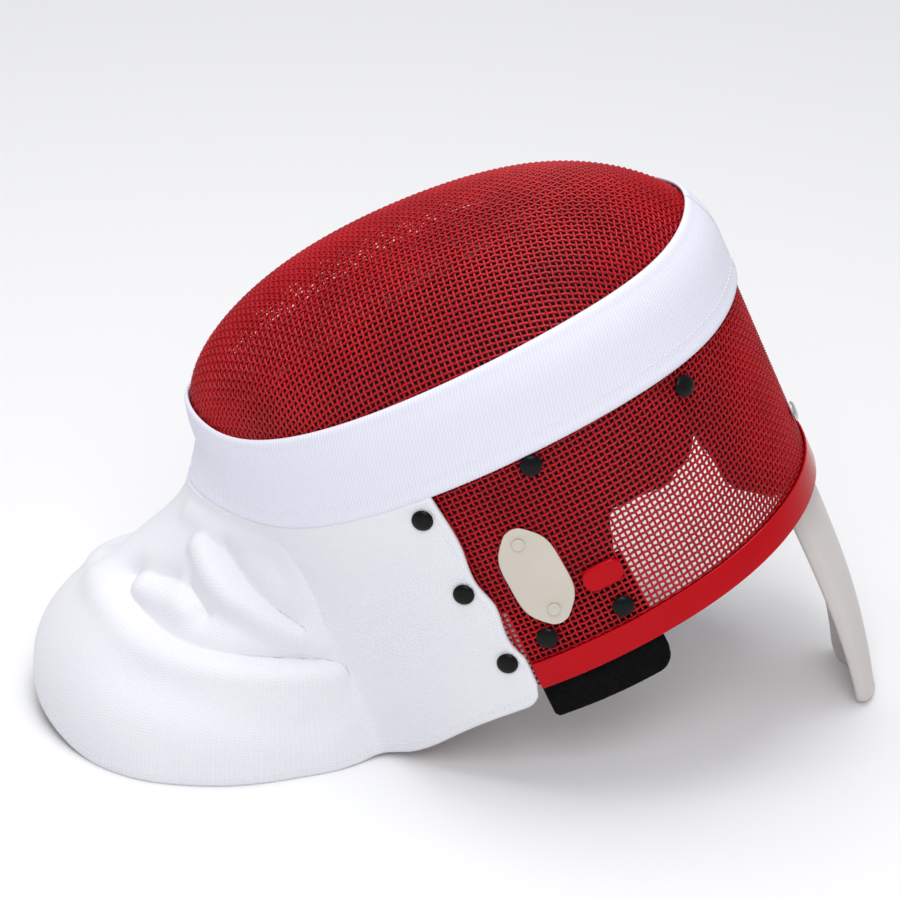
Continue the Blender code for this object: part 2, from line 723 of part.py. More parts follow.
def make_pad(pad, finish):
    """A plush pad inside the side wall that shows below the rim."""
    rows = 7
    columns = 9
    outer = MESH_WALL + EDGING_WALL + 2 * SURFACE_GAP
    middle = outer + PAD_THICKNESS / 2
    corner = pad.corner * PAD_BELOW_RIM
    points = []
    half_thickness = []
    for across in np.linspace(0, 1, columns):
        turn = pad.side * radians(pad.front + (pad.back - pad.front) * across)
        length = wall_length(turn)[0]
        to_back = radians(pad.back - pad.front) * (1 - across) * wall_reach(turn, length)
        in_corner = max(0.0, 1 - to_back / corner)
        drop = PAD_BELOW_RIM * (1 - (1 - np.sqrt(1 - in_corner ** 2)) * min(1.0, pad.corner))
        top = length * PAD_TOP
        bottom = length + drop
        for down in np.linspace(0, 1, rows):
            distance = top + (bottom - top) * down
            point, _, _, out = wall_frame(turn, distance)
            points.append(point - out * middle)
            border = min(min(across, 1 - across) * PAD_BORDERS_ACROSS,
                         min(down, 1 - down) * PAD_BORDERS_DOWN, 1.0)
            round_over = np.sqrt(1 - (1 - border) ** 2)
            thickness = PAD_THICKNESS * (PAD_EDGE_SHARE + (1 - PAD_EDGE_SHARE) * round_over)
            half_thickness.append(thickness / 2)
    half_thickness = np.array(half_thickness)
    faces = grid_faces(columns, rows)
    if pad.side > 0:
        faces = [tuple(reversed(face)) for face in faces]
    solid = thick_sheet(np.array(points), faces, -half_thickness, half_thickness)
    add_piece(pad.name, *solid, finish, 60)


def main():
    for old in list(bpy.data.objects):
        bpy.data.objects.remove(old, do_unlink=True)
    red_wire = material("red_wire", (0.50, 0.012, 0.022), 0.35)
    red_edging = material("red_edging", (0.42, 0.014, 0.020), 0.22)
    white_band = material("white_band", (0.74, 0.74, 0.82), 0.80)
    white_cloth = material("white_cloth", (0.80, 0.80, 0.84), 0.85)
    tongue_cloth = material("tongue_cloth", (0.66, 0.62, 0.60), 0.70)
    black_snap = material("black_snap", (0.012, 0.012, 0.013), 0.30)
    black_plush = material("black_plush", (0.008, 0.008, 0.009), 0.95)
    navy_padding = material("navy_padding", (0.010, 0.011, 0.020), 0.90)
    cream_plate = material("cream_plate", (0.68, 0.64, 0.58), 0.40)
    steel = material("steel", (0.62, 0.61, 0.59), 0.30, 1.0)

    make_face_mesh(red_wire)
    make_side_mesh(red_wire)
    make_trim_band(white_band)
    make_lining(navy_padding)
    make_rim_edging(red_edging)
    make_bib(white_cloth)
    make_tongue(tongue_cloth)
    for pad in PADS:
        make_pad(pad, black_plush)
    for side, side_name in ((-1, "left"), (1, "right")):
        for spot in SNAPS:
            stand_off = 2 * SURFACE_GAP
            if spot.over_bib:
                stand_off += BIB_WALL
            turn = side * radians(spot.angle)
            distance = wall_length(turn)[0] * spot.down
            make_button(f"snap_{side_name}_{spot.name}", turn, distance, stand_off,
                        SNAP_RADIUS, SNAP_HEIGHT, black_snap)
    make_plate(cream_plate)
    make_badge(red_edging)
    distance = wall_length(pi)[0] * CROWN_RIVET_DOWN
    make_button("crown_rivet", pi, distance, 2 * SURFACE_GAP, RIVET_RADIUS, RIVET_HEIGHT, steel)


main()
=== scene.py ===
from math import cos, pi, radians, sin, sqrt

import bpy
import numpy as np
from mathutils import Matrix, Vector


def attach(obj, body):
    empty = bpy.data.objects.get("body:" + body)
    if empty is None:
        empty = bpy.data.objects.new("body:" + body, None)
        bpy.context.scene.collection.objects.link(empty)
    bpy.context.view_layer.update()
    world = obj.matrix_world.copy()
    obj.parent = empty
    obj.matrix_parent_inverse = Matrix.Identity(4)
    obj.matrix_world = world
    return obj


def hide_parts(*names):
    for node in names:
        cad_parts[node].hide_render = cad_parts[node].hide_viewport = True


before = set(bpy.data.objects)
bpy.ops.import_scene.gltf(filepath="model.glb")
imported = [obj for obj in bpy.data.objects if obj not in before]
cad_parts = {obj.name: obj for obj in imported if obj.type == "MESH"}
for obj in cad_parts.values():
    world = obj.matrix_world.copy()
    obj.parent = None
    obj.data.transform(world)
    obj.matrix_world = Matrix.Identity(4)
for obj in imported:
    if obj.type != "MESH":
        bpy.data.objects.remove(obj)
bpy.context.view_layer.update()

# A fencing mask that lies face up on its bib and its tongue.
# Angles round the mask run from 0 at the chin to 180 at the crown, below zero on the left.

maskForm = {
    "tilt": radians(24),            # how far the chin hangs below the crown
    "centre": (0.0011, 0.0, 0.192),
    "halfLength": 0.132,
    "seamHalfWidth": 0.088,
    "seamLift": 0.006,
    "domeHeight": 0.069,
    "rimHalfLength": 0.132,
    "rimHalfWidth": 0.0995,
    "wallDepth": 0.134,
    "jawAngle": 38,
    "chinLip": 0.026,
    "bandOverFace": 0.0235,
    "bandOverSide": 0.0230,
    # every 30 degrees: seam width, seam lift, dome height, rim along, rim width, rim depth
    "sections": (
        (0.00, 0.75, 0.00, -1.39, 0.00, 0.50),
        (0.45, -0.92, 0.70, -0.975, 0.51, 1.05),
        (0.84, -1.00, 1.00, -0.503, 0.83, 1.08),
        (1.00, -0.22, 1.00, 0.00, 1.00, 1.01),
        (0.90, 0.13, 0.84, 0.545, 0.87, 0.985),
        (0.50, -0.35, 0.53, 0.876, 0.48, 0.98),
        (0.00, 0.05, 0.00, 0.973, 0.00, 0.985),
    ),
}

along = np.array([cos(maskForm["tilt"]), 0.0, sin(maskForm["tilt"])])
faceWay = np.array([-sin(maskForm["tilt"]), 0.0, cos(maskForm["tilt"])])
across = np.array([0.0, 1.0, 0.0])
centre = np.array(maskForm["centre"])
dice = np.random.default_rng(7)


# the smooth form of the mask

def smoothColumn(column):
    values = np.array([row[column] for row in maskForm["sections"]])
    mirror = -1 if values[0] == 0 and values[-1] == 0 else 1
    ring = np.concatenate([values, mirror * values[-2:0:-1]])
    count = len(ring)
    spacing = 2 * pi / count
    bends = np.eye(count) * 4
    bends += np.roll(np.eye(count), 1, axis=0) + np.roll(np.eye(count), -1, axis=0)
    curve = np.linalg.solve(bends, 6 * (np.roll(ring, -1) - 2 * ring + np.roll(ring, 1)))

    def value(turn):
        place = np.asarray(turn, float) / spacing
        before = np.floor(place).astype(int)
        part = place - before
        left = 1 - part
        before = before % count
        after = (before + 1) % count
        return (ring[before] * left + ring[after] * part
                + curve[before] * (left ** 3 - left) / 6
                + curve[after] * (part ** 3 - part) / 6)

    return value


seamWidth, seamLift, domeHeight, rimAlong, rimWidth, rimDepth = [smoothColumn(i) for i in range(6)]


def toWorld(lengthwise, sideways, outward):
    return (centre + np.multiply.outer(lengthwise, along) + np.multiply.outer(sideways, across)
            + np.multiply.outer(outward, faceWay))


def seamAt(turn):
    return toWorld(-maskForm["halfLength"] * np.cos(turn), maskForm["seamHalfWidth"] * seamWidth(turn),
                   maskForm["seamLift"] * seamLift(turn))


def rimAt(turn):
    return toWorld(maskForm["rimHalfLength"] * rimAlong(turn),
                   maskForm["rimHalfWidth"] * rimWidth(turn),
                   -maskForm["wallDepth"] * rimDepth(turn))


def wallLength(turn):
    return np.linalg.norm(rimAt(turn) - seamAt(turn), axis=-1)


def wallAt(turn, distance):
    top = seamAt(turn)
    slope = rimAt(turn) - top
    slope /= np.linalg.norm(slope, axis=-1, keepdims=True)
    return top + slope * np.asarray(distance)[..., None]


def unit(vectors):
    return vectors / (np.linalg.norm(vectors, axis=-1, keepdims=True) + 1e-15)


def wallOut(turn, distance):
    step = 1e-3
    round_ = wallAt(turn + step, distance) - wallAt(turn - step, distance)
    down = rimAt(turn) - seamAt(turn)
    return unit(np.cross(round_, down))


def wallFrame(turn, distance):
    step = 1e-3
    point = wallAt(turn, distance)
    round_ = unit(wallAt(turn + step, distance) - wallAt(turn - step, distance))
    down = unit(rimAt(turn) - seamAt(turn))
    out = unit(np.cross(round_, down))
    return point, round_, down, out


def wallReach(turn, distance):
    # length round the wall for each radian
    step = 1e-3
    ahead = wallAt(np.asarray(turn + step), distance)
    behind = wallAt(np.asarray(turn - step), distance)
    return np.linalg.norm(ahead - behind, axis=-1) / (2 * step)


def domeClimb(turn, distances):
    # points of the dome, distances up from the seam and square to it
    step = 1e-3
    seam = seamAt(turn) - centre
    change = seamAt(turn + step) - seamAt(turn - step)
    inward = unit(np.array([-(change @ across), change @ along]))
    if inward @ np.array([seam @ along, seam @ across]) > 0:
        inward = -inward
    inset = np.linspace(0, 1, 400) ** 2 * maskForm["seamHalfWidth"] * 0.9
    lengthwise = seam @ along + inset * inward[0]
    sideways = seam @ across + inset * inward[1]
    angle = np.arccos(np.clip(-lengthwise / maskForm["halfLength"], -1, 1))
    halfWidth = np.maximum(maskForm["seamHalfWidth"] * seamWidth(angle), 1e-9)
    bow = np.sqrt(np.clip(1 - (sideways / halfWidth) ** 2, 0, 1))
    height = maskForm["seamLift"] * seamLift(angle) + maskForm["domeHeight"] * domeHeight(angle) * bow
    points = toWorld(lengthwise, sideways, 0 * inset) + np.multiply.outer(height, faceWay)
    points[0] = seamAt(turn)
    run = np.concatenate([[0], np.cumsum(np.linalg.norm(np.diff(points, axis=0), axis=1))])
    return np.stack([np.interp(distances, run, points[:, axis]) for axis in range(3)], axis=-1)


def smoothThrough(places, values, wanted):
    # a smooth curve through given values
    places = np.asarray(places, float)
    values = np.asarray(values, float)
    slopes = np.gradient(values, places, axis=0)
    wanted = np.clip(wanted, places[0], places[-1])
    k = np.clip(np.searchsorted(places, wanted, side="right") - 1, 0, len(places) - 2)
    span = places[k + 1] - places[k]
    t = (wanted - places[k]) / span
    if values.ndim > 1:
        t = t[..., None]
        span = span[..., None]
    return ((2 * t ** 3 - 3 * t ** 2 + 1) * values[k] + (t ** 3 - 2 * t ** 2 + t) * span * slopes[k]
            + (3 * t ** 2 - 2 * t ** 3) * values[k + 1] + (t ** 3 - t ** 2) * span * slopes[k + 1])


# meshes

def addMesh(name, points, faces, finish, smooth=True, lay=None):
    mesh = bpy.data.meshes.new(name)
    mesh.from_pydata(np.asarray(points).tolist(), [], faces)
    if smooth:
        mesh.shade_smooth()
    if lay is not None:
        corners = np.empty(len(mesh.loops), int)
        mesh.loops.foreach_get("vertex_index", corners)
        layer = mesh.uv_layers.new(name="clothLay")
        layer.data.foreach_set("uv", np.asarray(lay, np.float32)[corners].ravel())
    mesh.materials.append(finish)
    piece = bpy.data.objects.new(name, mesh)
    bpy.context.scene.collection.objects.link(piece)
    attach(piece, "root")
    return piece


def gridFaces(rows, columns, closeRows=False, closeColumns=False, first=0):
    index = np.arange(rows * columns).reshape(rows, columns) + first
    if closeRows:
        index = np.concatenate([index, index[:1]])
    if closeColumns:
        index = np.concatenate([index, index[:, :1]], axis=1)
    quads = np.stack([index[:-1, :-1], index[1:, :-1], index[1:, 1:], index[:-1, 1:]], axis=-1)
    return quads.reshape(-1, 4).tolist()


def tubes(name, lines, radius, sides, finish):
    # one mesh of many wires; each line is its points and the surface's normals there
    points = []
    faces = []
    first = 0
    angles = np.linspace(0, 2 * pi, sides, endpoint=False) + pi / sides
    for line, normals in lines:
        heading = unit(np.gradient(line, axis=0))
        side = unit(np.cross(heading, normals))
        up = np.cross(side, heading)
        ring = (line[:, None] + radius * (np.cos(angles)[None, :, None] * side[:, None]
                                          + np.sin(angles)[None, :, None] * up[:, None]))
        points.append(ring.reshape(-1, 3))
        faces += gridFaces(len(line), sides, closeColumns=True, first=first)
        faces.append(list(range(first, first + sides)))
        last = first + (len(line) - 1) * sides
        faces.append(list(range(last + sides - 1, last - 1, -1)))
        first += len(line) * sides
    return addMesh(name, np.concatenate(points), faces, finish)


def clothSolid(name, surface, out, low, high, finish, lay, closed=False):
    # a cloth with rounded borders between two offsets of a grid of points
    rows, columns = surface.shape[:2]
    low = np.broadcast_to(low, (rows, columns))[..., None]
    high = np.broadcast_to(high, (rows, columns))[..., None]
    top = surface + out * high
    bottom = surface + out * low
    half = (high - low) / 2
    middle = (top + bottom) / 2
    before = unit(surface[:, 0] - surface[:, 1]) * half[:, 0]
    after = unit(surface[:, -1] - surface[:, -2]) * half[:, -1]
    loop = np.concatenate([top, (middle[:, -1] + after)[:, None], bottom[:, ::-1],
                           (middle[:, 0] + before)[:, None]], axis=1)
    loopLay = np.concatenate([lay, lay[:, -1:], lay[:, ::-1], lay[:, :1]], axis=1)
    around = loop.shape[1]
    points = loop.reshape(-1, 3)
    faces = gridFaces(rows, around, closeRows=closed, closeColumns=True)
    if not closed:
        for row, flip in ((0, False), (rows - 1, True)):
            base = row * around
            for column in range(columns - 1):
                quad = [base + column, base + column + 1,
                        base + 2 * columns - 1 - column, base + 2 * columns - column]
                faces.append(quad[::-1] if flip else quad)
            for tip in ([base + columns - 1, base + columns, base + columns + 1],
                        [base + 2 * columns, base + 2 * columns + 1, base]):
                faces.append(tip[::-1] if flip else tip)
    return addMesh(name, points, faces, finish, lay=loopLay.reshape(-1, 2))


def backFaces(piece, gridShape, finish):
    # the inner face of a cloth solid gets a finish of its own
    rows, columns = gridShape[:2]
    around = 2 * columns + 2
    piece.data.materials.append(finish)
    for polygon in piece.data.polygons:
        corner = min(polygon.vertices) % around
        if len(polygon.vertices) == 4 and columns < corner < 2 * columns:
            polygon.material_index = 1


def gridNormals(surface, closed=False):
    if closed:
        wide = np.concatenate([surface[-1:], surface, surface[:1]])
        rowWay = (wide[2:] - wide[:-2]) / 2
    else:
        rowWay = np.gradient(surface, axis=0)
    return unit(np.cross(rowWay, np.gradient(surface, axis=1)))


stitching = {
    "pitch": 0.0030,
    "length": 0.0023,
    "radius": 0.00030,
    "sunk": 0.00040,        # how far the ends of a stitch lie inside the cloth
    "rings": 5,
    "sides": 6,
}


def besideEdge(surface, out, inward, high):
    # a line on the outer face of a cloth, a set distance in from the last of its columns
    run = np.linalg.norm(np.diff(surface, axis=1), axis=2)
    run = np.concatenate([np.zeros((len(surface), 1)), np.cumsum(run, axis=1)], axis=1)
    both = np.concatenate([surface, out], axis=2)
    line = np.array([[np.interp(run[k, -1] - inward, run[k], both[k, :, axis]) for axis in range(6)]
                     for k in range(len(surface))])
    normals = unit(line[:, 3:])
    return line[:, :3] + normals * high, normals


def sewRows(name, rows, finish):
    # rows of short stitches, each a thread that comes out of the cloth and goes back in
    share = np.linspace(0, 1, stitching["rings"])
    rise = -stitching["sunk"] * (2 * share - 1) ** 4
    threads = []
    for points, normals in rows:
        run = np.concatenate([[0], np.cumsum(np.linalg.norm(np.diff(points, axis=0), axis=1))])
        for start in np.arange(0, run[-1] - stitching["length"], stitching["pitch"]):
            spots = start + share * stitching["length"]
            line = np.stack([np.interp(spots, run, points[:, axis]) for axis in range(3)], axis=-1)
            out = unit(np.stack([np.interp(spots, run, normals[:, axis]) for axis in range(3)], axis=-1))
            threads.append((line + out * rise[:, None], out))
    piece = tubes(name, threads, stitching["radius"], stitching["sides"], finish)
    print(name, "sewn:", len(threads), "stitches")


# materials

def newFinish(name, colour, roughness, metallic=0.0):
    finish = bpy.data.materials.new(name)
    finish.use_nodes = True
    shader = finish.node_tree.nodes["Principled BSDF"]
    shader.inputs["Base Color"].default_value = (*colour, 1)
    shader.inputs["Roughness"].default_value = roughness
    shader.inputs["Metallic"].default_value = metallic
    return finish, shader


def addNode(finish, kind, values=None, **settings):
    node = finish.node_tree.nodes.new(kind)
    for key, value in settings.items():
        setattr(node, key, value)
    for key, value in (values or {}).items():
        node.inputs[key].default_value = value
    return node


def wire(finish, source, target):
    finish.node_tree.links.new(source, target)


def objectPlace(finish, scale=(1, 1, 1)):
    place = addNode(finish, "ShaderNodeTexCoord")
    stretch = addNode(finish, "ShaderNodeMapping")
    stretch.inputs["Scale"].default_value = scale
    wire(finish, place.outputs["Object"], stretch.inputs["Vector"])
    return stretch.outputs["Vector"]


def clothPlace(finish, turn=0.0, scale=(1, 1, 1)):
    place = addNode(finish, "ShaderNodeUVMap", uv_map="clothLay")
    stretch = addNode(finish, "ShaderNodeMapping")
    stretch.inputs["Rotation"].default_value = (0, 0, turn)
    stretch.inputs["Scale"].default_value = scale
    wire(finish, place.outputs["UV"], stretch.inputs["Vector"])
    return stretch.outputs["Vector"]


def noise(finish, place, scale, detail=2.0, roughness=0.5):
    node = addNode(finish, "ShaderNodeTexNoise", {"Scale": scale, "Detail": detail,
                                                  "Roughness": roughness})
    wire(finish, place, node.inputs["Vector"])
    return node.outputs["Fac"]


def between(finish, source, low, high, fromLow=0.0, fromHigh=1.0):
    node = addNode(finish, "ShaderNodeMapRange", {"From Min": fromLow, "From Max": fromHigh,
                                                  "To Min": low, "To Max": high})
    wire(finish, source, node.inputs["Value"])
    return node.outputs["Result"]


def blendColours(finish, source, first, second):
    node = addNode(finish, "ShaderNodeMix", data_type="RGBA")
    node.inputs["A"].default_value = (*first, 1)
    node.inputs["B"].default_value = (*second, 1)
    wire(finish, source, node.inputs["Factor"])
    return node.outputs[2]


def combine(finish, operation, first, second):
    node = addNode(finish, "ShaderNodeMath", operation=operation)
    for slot, value in ((0, first), (1, second)):
        if isinstance(value, float):
            node.inputs[slot].default_value = value
        else:
            wire(finish, value, node.inputs[slot])
    return node.outputs[0]


def stripes(finish, place, pitch, direction="X"):
    # even threads across one direction, 0 in the grooves and 1 on top
    node = addNode(finish, "ShaderNodeTexWave", {"Scale": pi / (10 * pitch), "Distortion": 0.0},
                   wave_type="BANDS", bands_direction=direction, wave_profile="SIN")
    wire(finish, place, node.inputs["Vector"])
    return node.outputs["Fac"]


def relief(finish, shader, height, distance, strength=1.0):
    node = addNode(finish, "ShaderNodeBump", {"Strength": strength, "Distance": distance})
    wire(finish, height, node.inputs["Height"])
    wire(finish, node.outputs["Normal"], shader.inputs["Normal"])


def redWireFinish():
    finish, shader = newFinish("redWirePaint", (0.41, 0.003, 0.008), 0.34)
    shader.inputs["Specular IOR Level"].default_value = 0.30
    place = objectPlace(finish)
    patches = noise(finish, place, 38, 3)
    grain = noise(finish, place, 900, 2)
    wire(finish, blendColours(finish, between(finish, patches, 0, 1, 0.35, 0.65),
                              (0.36, 0.0015, 0.006), (0.46, 0.004, 0.010)),
         shader.inputs["Base Color"])
    wire(finish, between(finish, grain, 0.26, 0.42), shader.inputs["Roughness"])
    relief(finish, shader, grain, 0.00012)
    return finish


def redEdgingFinish():
    finish, shader = newFinish("redEdging", (0.46, 0.004, 0.008), 0.22)
    shader.inputs["Specular IOR Level"].default_value = 0.12
    place = objectPlace(finish)
    patches = noise(finish, place, 22, 3)
    wire(finish, blendColours(finish, patches, (0.44, 0.001, 0.005), (0.52, 0.002, 0.008)),
         shader.inputs["Base Color"])
    wire(finish, between(finish, noise(finish, place, 60, 3), 0.12, 0.22), shader.inputs["Roughness"])
    relief(finish, shader, noise(finish, place, 240, 2), 0.00005, 0.5)
    return finish


def bandFinish():
    finish, shader = newFinish("bandCloth", (0.76, 0.76, 0.86), 0.72)
    shader.inputs["Sheen Weight"].default_value = 0.15
    ribs = stripes(finish, clothPlace(finish, turn=radians(12)), 0.0016)
    threads = stripes(finish, clothPlace(finish), 0.0008, "Y")
    height = combine(finish, "ADD", ribs, combine(finish, "MULTIPLY", threads, 0.25))
    wire(finish, blendColours(finish, ribs, (0.77, 0.77, 0.88), (0.84, 0.84, 0.93)),
         shader.inputs["Base Color"])
    relief(finish, shader, height, 0.00022, 0.7)
    return finish


def bibFinish():
    finish, shader = newFinish("bibCloth", (0.83, 0.83, 0.87), 0.78)
    shader.inputs["Sheen Weight"].default_value = 0.2
    warp = stripes(finish, clothPlace(finish), 0.0014)
    weft = stripes(finish, clothPlace(finish), 0.0014, "Y")
    weave = combine(finish, "MULTIPLY", warp, weft)
    patches = noise(finish, objectPlace(finish), 14, 3)
    tone = combine(finish, "ADD", combine(finish, "MULTIPLY", weave, 0.6), patches)
    wire(finish, blendColours(finish, between(finish, tone, 0, 1, 0.3, 1.1),
                              (0.76, 0.76, 0.81), (0.84, 0.84, 0.87)),
         shader.inputs["Base Color"])
    relief(finish, shader, weave, 0.00020, 0.6)
    return finish


def threadFinish():
    finish, shader = newFinish("whiteThread", (0.80, 0.80, 0.86), 0.5)
    shader.inputs["Sheen Weight"].default_value = 0.3
    twist = noise(finish, objectPlace(finish), 2600, 2)
    wire(finish, blendColours(finish, twist, (0.72, 0.72, 0.79), (0.88, 0.88, 0.92)),
         shader.inputs["Base Color"])
    relief(finish, shader, twist, 0.00006)
    return finish


def tongueFinish():
    finish, shader = newFinish("tongueCloth", (0.68, 0.64, 0.61), 0.62)
    shader.inputs["Sheen Weight"].default_value = 0.15
    place = objectPlace(finish)
    patches = noise(finish, place, 26, 3)
    grain = noise(finish, place, 1400, 2)
    wire(finish, blendColours(finish, patches, (0.58, 0.545, 0.52), (0.69, 0.66, 0.635)),
         shader.inputs["Base Color"])
    relief(finish, shader, grain, 0.00012, 0.6)
    return finish


def plushFinish():
    finish, shader = newFinish("blackPlush", (0.003, 0.003, 0.0035), 1.0)
    shader.inputs["Specular IOR Level"].default_value = 0.05
    place = objectPlace(finish)
    tufts = noise(finish, place, 420, 3, 0.7)
    wire(finish, blendColours(finish, tufts, (0.003, 0.003, 0.0035), (0.011, 0.011, 0.012)),
         shader.inputs["Base Color"])
    relief(finish, shader, tufts, 0.0012)
    return finish


def paddingFinish(name, dark, light):
    finish, shader = newFinish(name, dark, 0.9)
    cells = addNode(finish, "ShaderNodeTexVoronoi", {"Scale": 700.0})
    wire(finish, objectPlace(finish), cells.inputs["Vector"])
    wire(finish, blendColours(finish, between(finish, cells.outputs["Distance"], 0, 1, 0.1, 0.6),
                              dark, light), shader.inputs["Base Color"])
    relief(finish, shader, cells.outputs["Distance"], 0.0004)
    return finish


def snapFinish():
    finish, shader = newFinish("blackSnap", (0.003, 0.004, 0.004), 0.26)
    shader.inputs["Specular IOR Level"].default_value = 0.15
    place = objectPlace(finish)
    wire(finish, between(finish, noise(finish, place, 240, 3), 0.20, 0.38), shader.inputs["Roughness"])
    wire(finish, blendColours(finish, noise(finish, place, 90, 3), (0.002, 0.0025, 0.0025),
                              (0.005, 0.0055, 0.0055)), shader.inputs["Base Color"])
    relief(finish, shader, noise(finish, place, 600, 2), 0.00005)
    return finish


def plateFinish():
    finish, shader = newFinish("creamPlate", (0.70, 0.66, 0.59), 0.42)
    place = objectPlace(finish)
    wire(finish, blendColours(finish, noise(finish, place, 45, 3), (0.58, 0.53, 0.45),
                              (0.65, 0.60, 0.52)), shader.inputs["Base Color"])
    wire(finish, between(finish, noise(finish, place, 160, 3), 0.34, 0.52), shader.inputs["Roughness"])
    relief(finish, shader, noise(finish, place, 500, 3), 0.00010)
    return finish


def steelFinish():
    finish, shader = newFinish("rivetSteel", (0.62, 0.61, 0.59), 0.28, 1.0)
    place = objectPlace(finish, (1, 1, 14))
    wire(finish, between(finish, noise(finish, place, 180, 3), 0.2, 0.42), shader.inputs["Roughness"])
    relief(finish, shader, noise(finish, place, 300, 3), 0.00006)
    return finish


redWire = redWireFinish()
redEdging = redEdgingFinish()
bandCloth = bandFinish()
bibCloth = bibFinish()
whiteThread = threadFinish()
tongueCloth = tongueFinish()
blackPlush = plushFinish()
navyPadding = paddingFinish("navyPadding", (0.004, 0.005, 0.010), (0.012, 0.014, 0.026))
# the bib's inner face: navy padding, made this dark as painted shade for the shaded inside of the bib
bibBackingPaintedShade = paddingFinish("bibBackingPaintedShade", (0.010, 0.012, 0.022), (0.022, 0.025, 0.040))
blackSnap = snapFinish()
creamPlate = plateFinish()
rivetSteel = steelFinish()
print("finishes ready")

# the woven mesh over the face: a square weave pressed over the dome, so it shears towards
# the corners as a real one does

faceWires = {
    "pitch": 0.0029,
    "wireRadius": 0.00064,
    "crossAt": 0.004,       # where the first cross wire lies along the mask
    "sides": 6,
    "reach": 62,            # wires from the middle to either end, more than the dome needs
    "fitPasses": 12,
}


def domeTables():
    turn = np.linspace(0, pi, 3000)
    return (-maskForm["halfLength"] * np.cos(turn), maskForm["seamHalfWidth"] * seamWidth(turn),
            maskForm["seamLift"] * seamLift(turn), maskForm["domeHeight"] * domeHeight(turn))


tableAlong, tableWidth, tableLift, tableHeight = domeTables()


def domeField(p):
    # zero on the dome, p in the mask's own lengths along, across and out
    width = np.maximum(np.interp(p[..., 0], tableAlong, tableWidth), 1e-4)
    lift = np.interp(p[..., 0], tableAlong, tableLift)
    height = np.maximum(np.interp(p[..., 0], tableAlong, tableHeight), 1e-4)
    return (p[..., 1] / width) ** 2 + ((p[..., 2] - lift) / height) ** 2 - 1


def domeSlope(p):
    step = 2e-4
    slope = []
    for axis in range(3):
        shift = np.zeros(3)
        shift[axis] = step
        slope.append((domeField(p + shift) - domeField(p - shift)) / (2 * step))
    return np.stack(slope, axis=-1)


def netPoints(a, b, start, pitch):
    # points on the dome a pitch away from a and from b
    p = start.copy()
    for _ in range(faceWires["fitPasses"]):
        gaps = np.stack([((p - a) ** 2).sum(-1) - pitch ** 2, ((p - b) ** 2).sum(-1) - pitch ** 2,
                         domeField(p) * 1e-3], axis=-1)
        lines = np.stack([2 * (p - a), 2 * (p - b), domeSlope(p) * 1e-3], axis=1)
        lines = lines + np.eye(3) * 1e-9
        move = np.linalg.solve(lines, gaps[..., None])[..., 0]
        size = np.linalg.norm(move, axis=-1, keepdims=True)
        p = p - move * np.minimum(1, pitch / (size + 1e-12))
    miss = np.abs(np.linalg.norm(p - a, axis=-1) - pitch) + np.abs(np.linalg.norm(p - b, axis=-1) - pitch)
    p[(miss > pitch * 0.1) | (np.abs(domeField(p)) > 0.02)] = np.nan
    return p


def domeNet():
    pitch = faceWires["pitch"]
    count = faceWires["reach"]
    net = np.full((2, count, count, 3), np.nan)      # towards the crown and towards the chin
    x0 = faceWires["crossAt"]
    width = np.interp(x0, tableAlong, tableWidth)
    lift = np.interp(x0, tableAlong, tableLift)
    height = np.interp(x0, tableAlong, tableHeight)
    # the first cross wire lies in one plane
    arch = np.linspace(pi / 2, -0.05, 4000)
    curve = np.stack([np.full(4000, x0), width * np.cos(arch), lift + height * np.sin(arch)], axis=-1)
    run = np.concatenate([[0], np.cumsum(np.linalg.norm(np.diff(curve, axis=0), axis=1))])
    steps = np.arange(count) * pitch
    first = np.stack([np.interp(steps, run, curve[:, k], right=np.nan) for k in range(3)], axis=-1)
    # the middle long wire follows the crest
    for way, sign in ((0, 1), (1, -1)):
        x = np.linspace(x0, sign * maskForm["halfLength"], 6000)
        crest = np.stack([x, 0 * x, np.interp(x, tableAlong, tableLift)
                          + np.interp(x, tableAlong, tableHeight)], axis=-1)
        run = np.concatenate([[0], np.cumsum(np.linalg.norm(np.diff(crest, axis=0), axis=1))])
        net[way, :, 0] = np.stack([np.interp(steps, run, crest[:, k], right=np.nan)
                                   for k in range(3)], axis=-1)
        net[way, 0] = first
        for front in range(2, 2 * count - 1):
            i = np.arange(max(1, front - count + 1), min(count - 1, front - 1) + 1)
            j = front - i
            a = net[way, i - 1, j]
            b = net[way, i, j - 1]
            c = net[way, i - 1, j - 1]
            good = ~np.isnan(a + b + c).any(axis=-1)
            if not good.any():
                continue
            found = netPoints(a[good], b[good], (a + b - c)[good], pitch)
            lift = np.interp(found[:, 0], tableAlong, tableLift)
            found[found[:, 2] < lift - 0.001] = np.nan
            net[way, i[good], j[good]] = found
    return net


def wireRuns(points, normals, signs):
    # unbroken stretches of one wire, woven over and under by half its crimp
    valid = ~np.isnan(points).any(axis=-1)
    runs = []
    start = None
    for k in range(len(points) + 1):
        inside = k < len(points) and valid[k]
        if inside and start is None:
            start = k
        if not inside and start is not None:
            if k - start > 2:
                part = slice(start, k)
                runs.append((points[part] + normals[part] * signs[part, None], normals[part]))
            start = None
    return runs


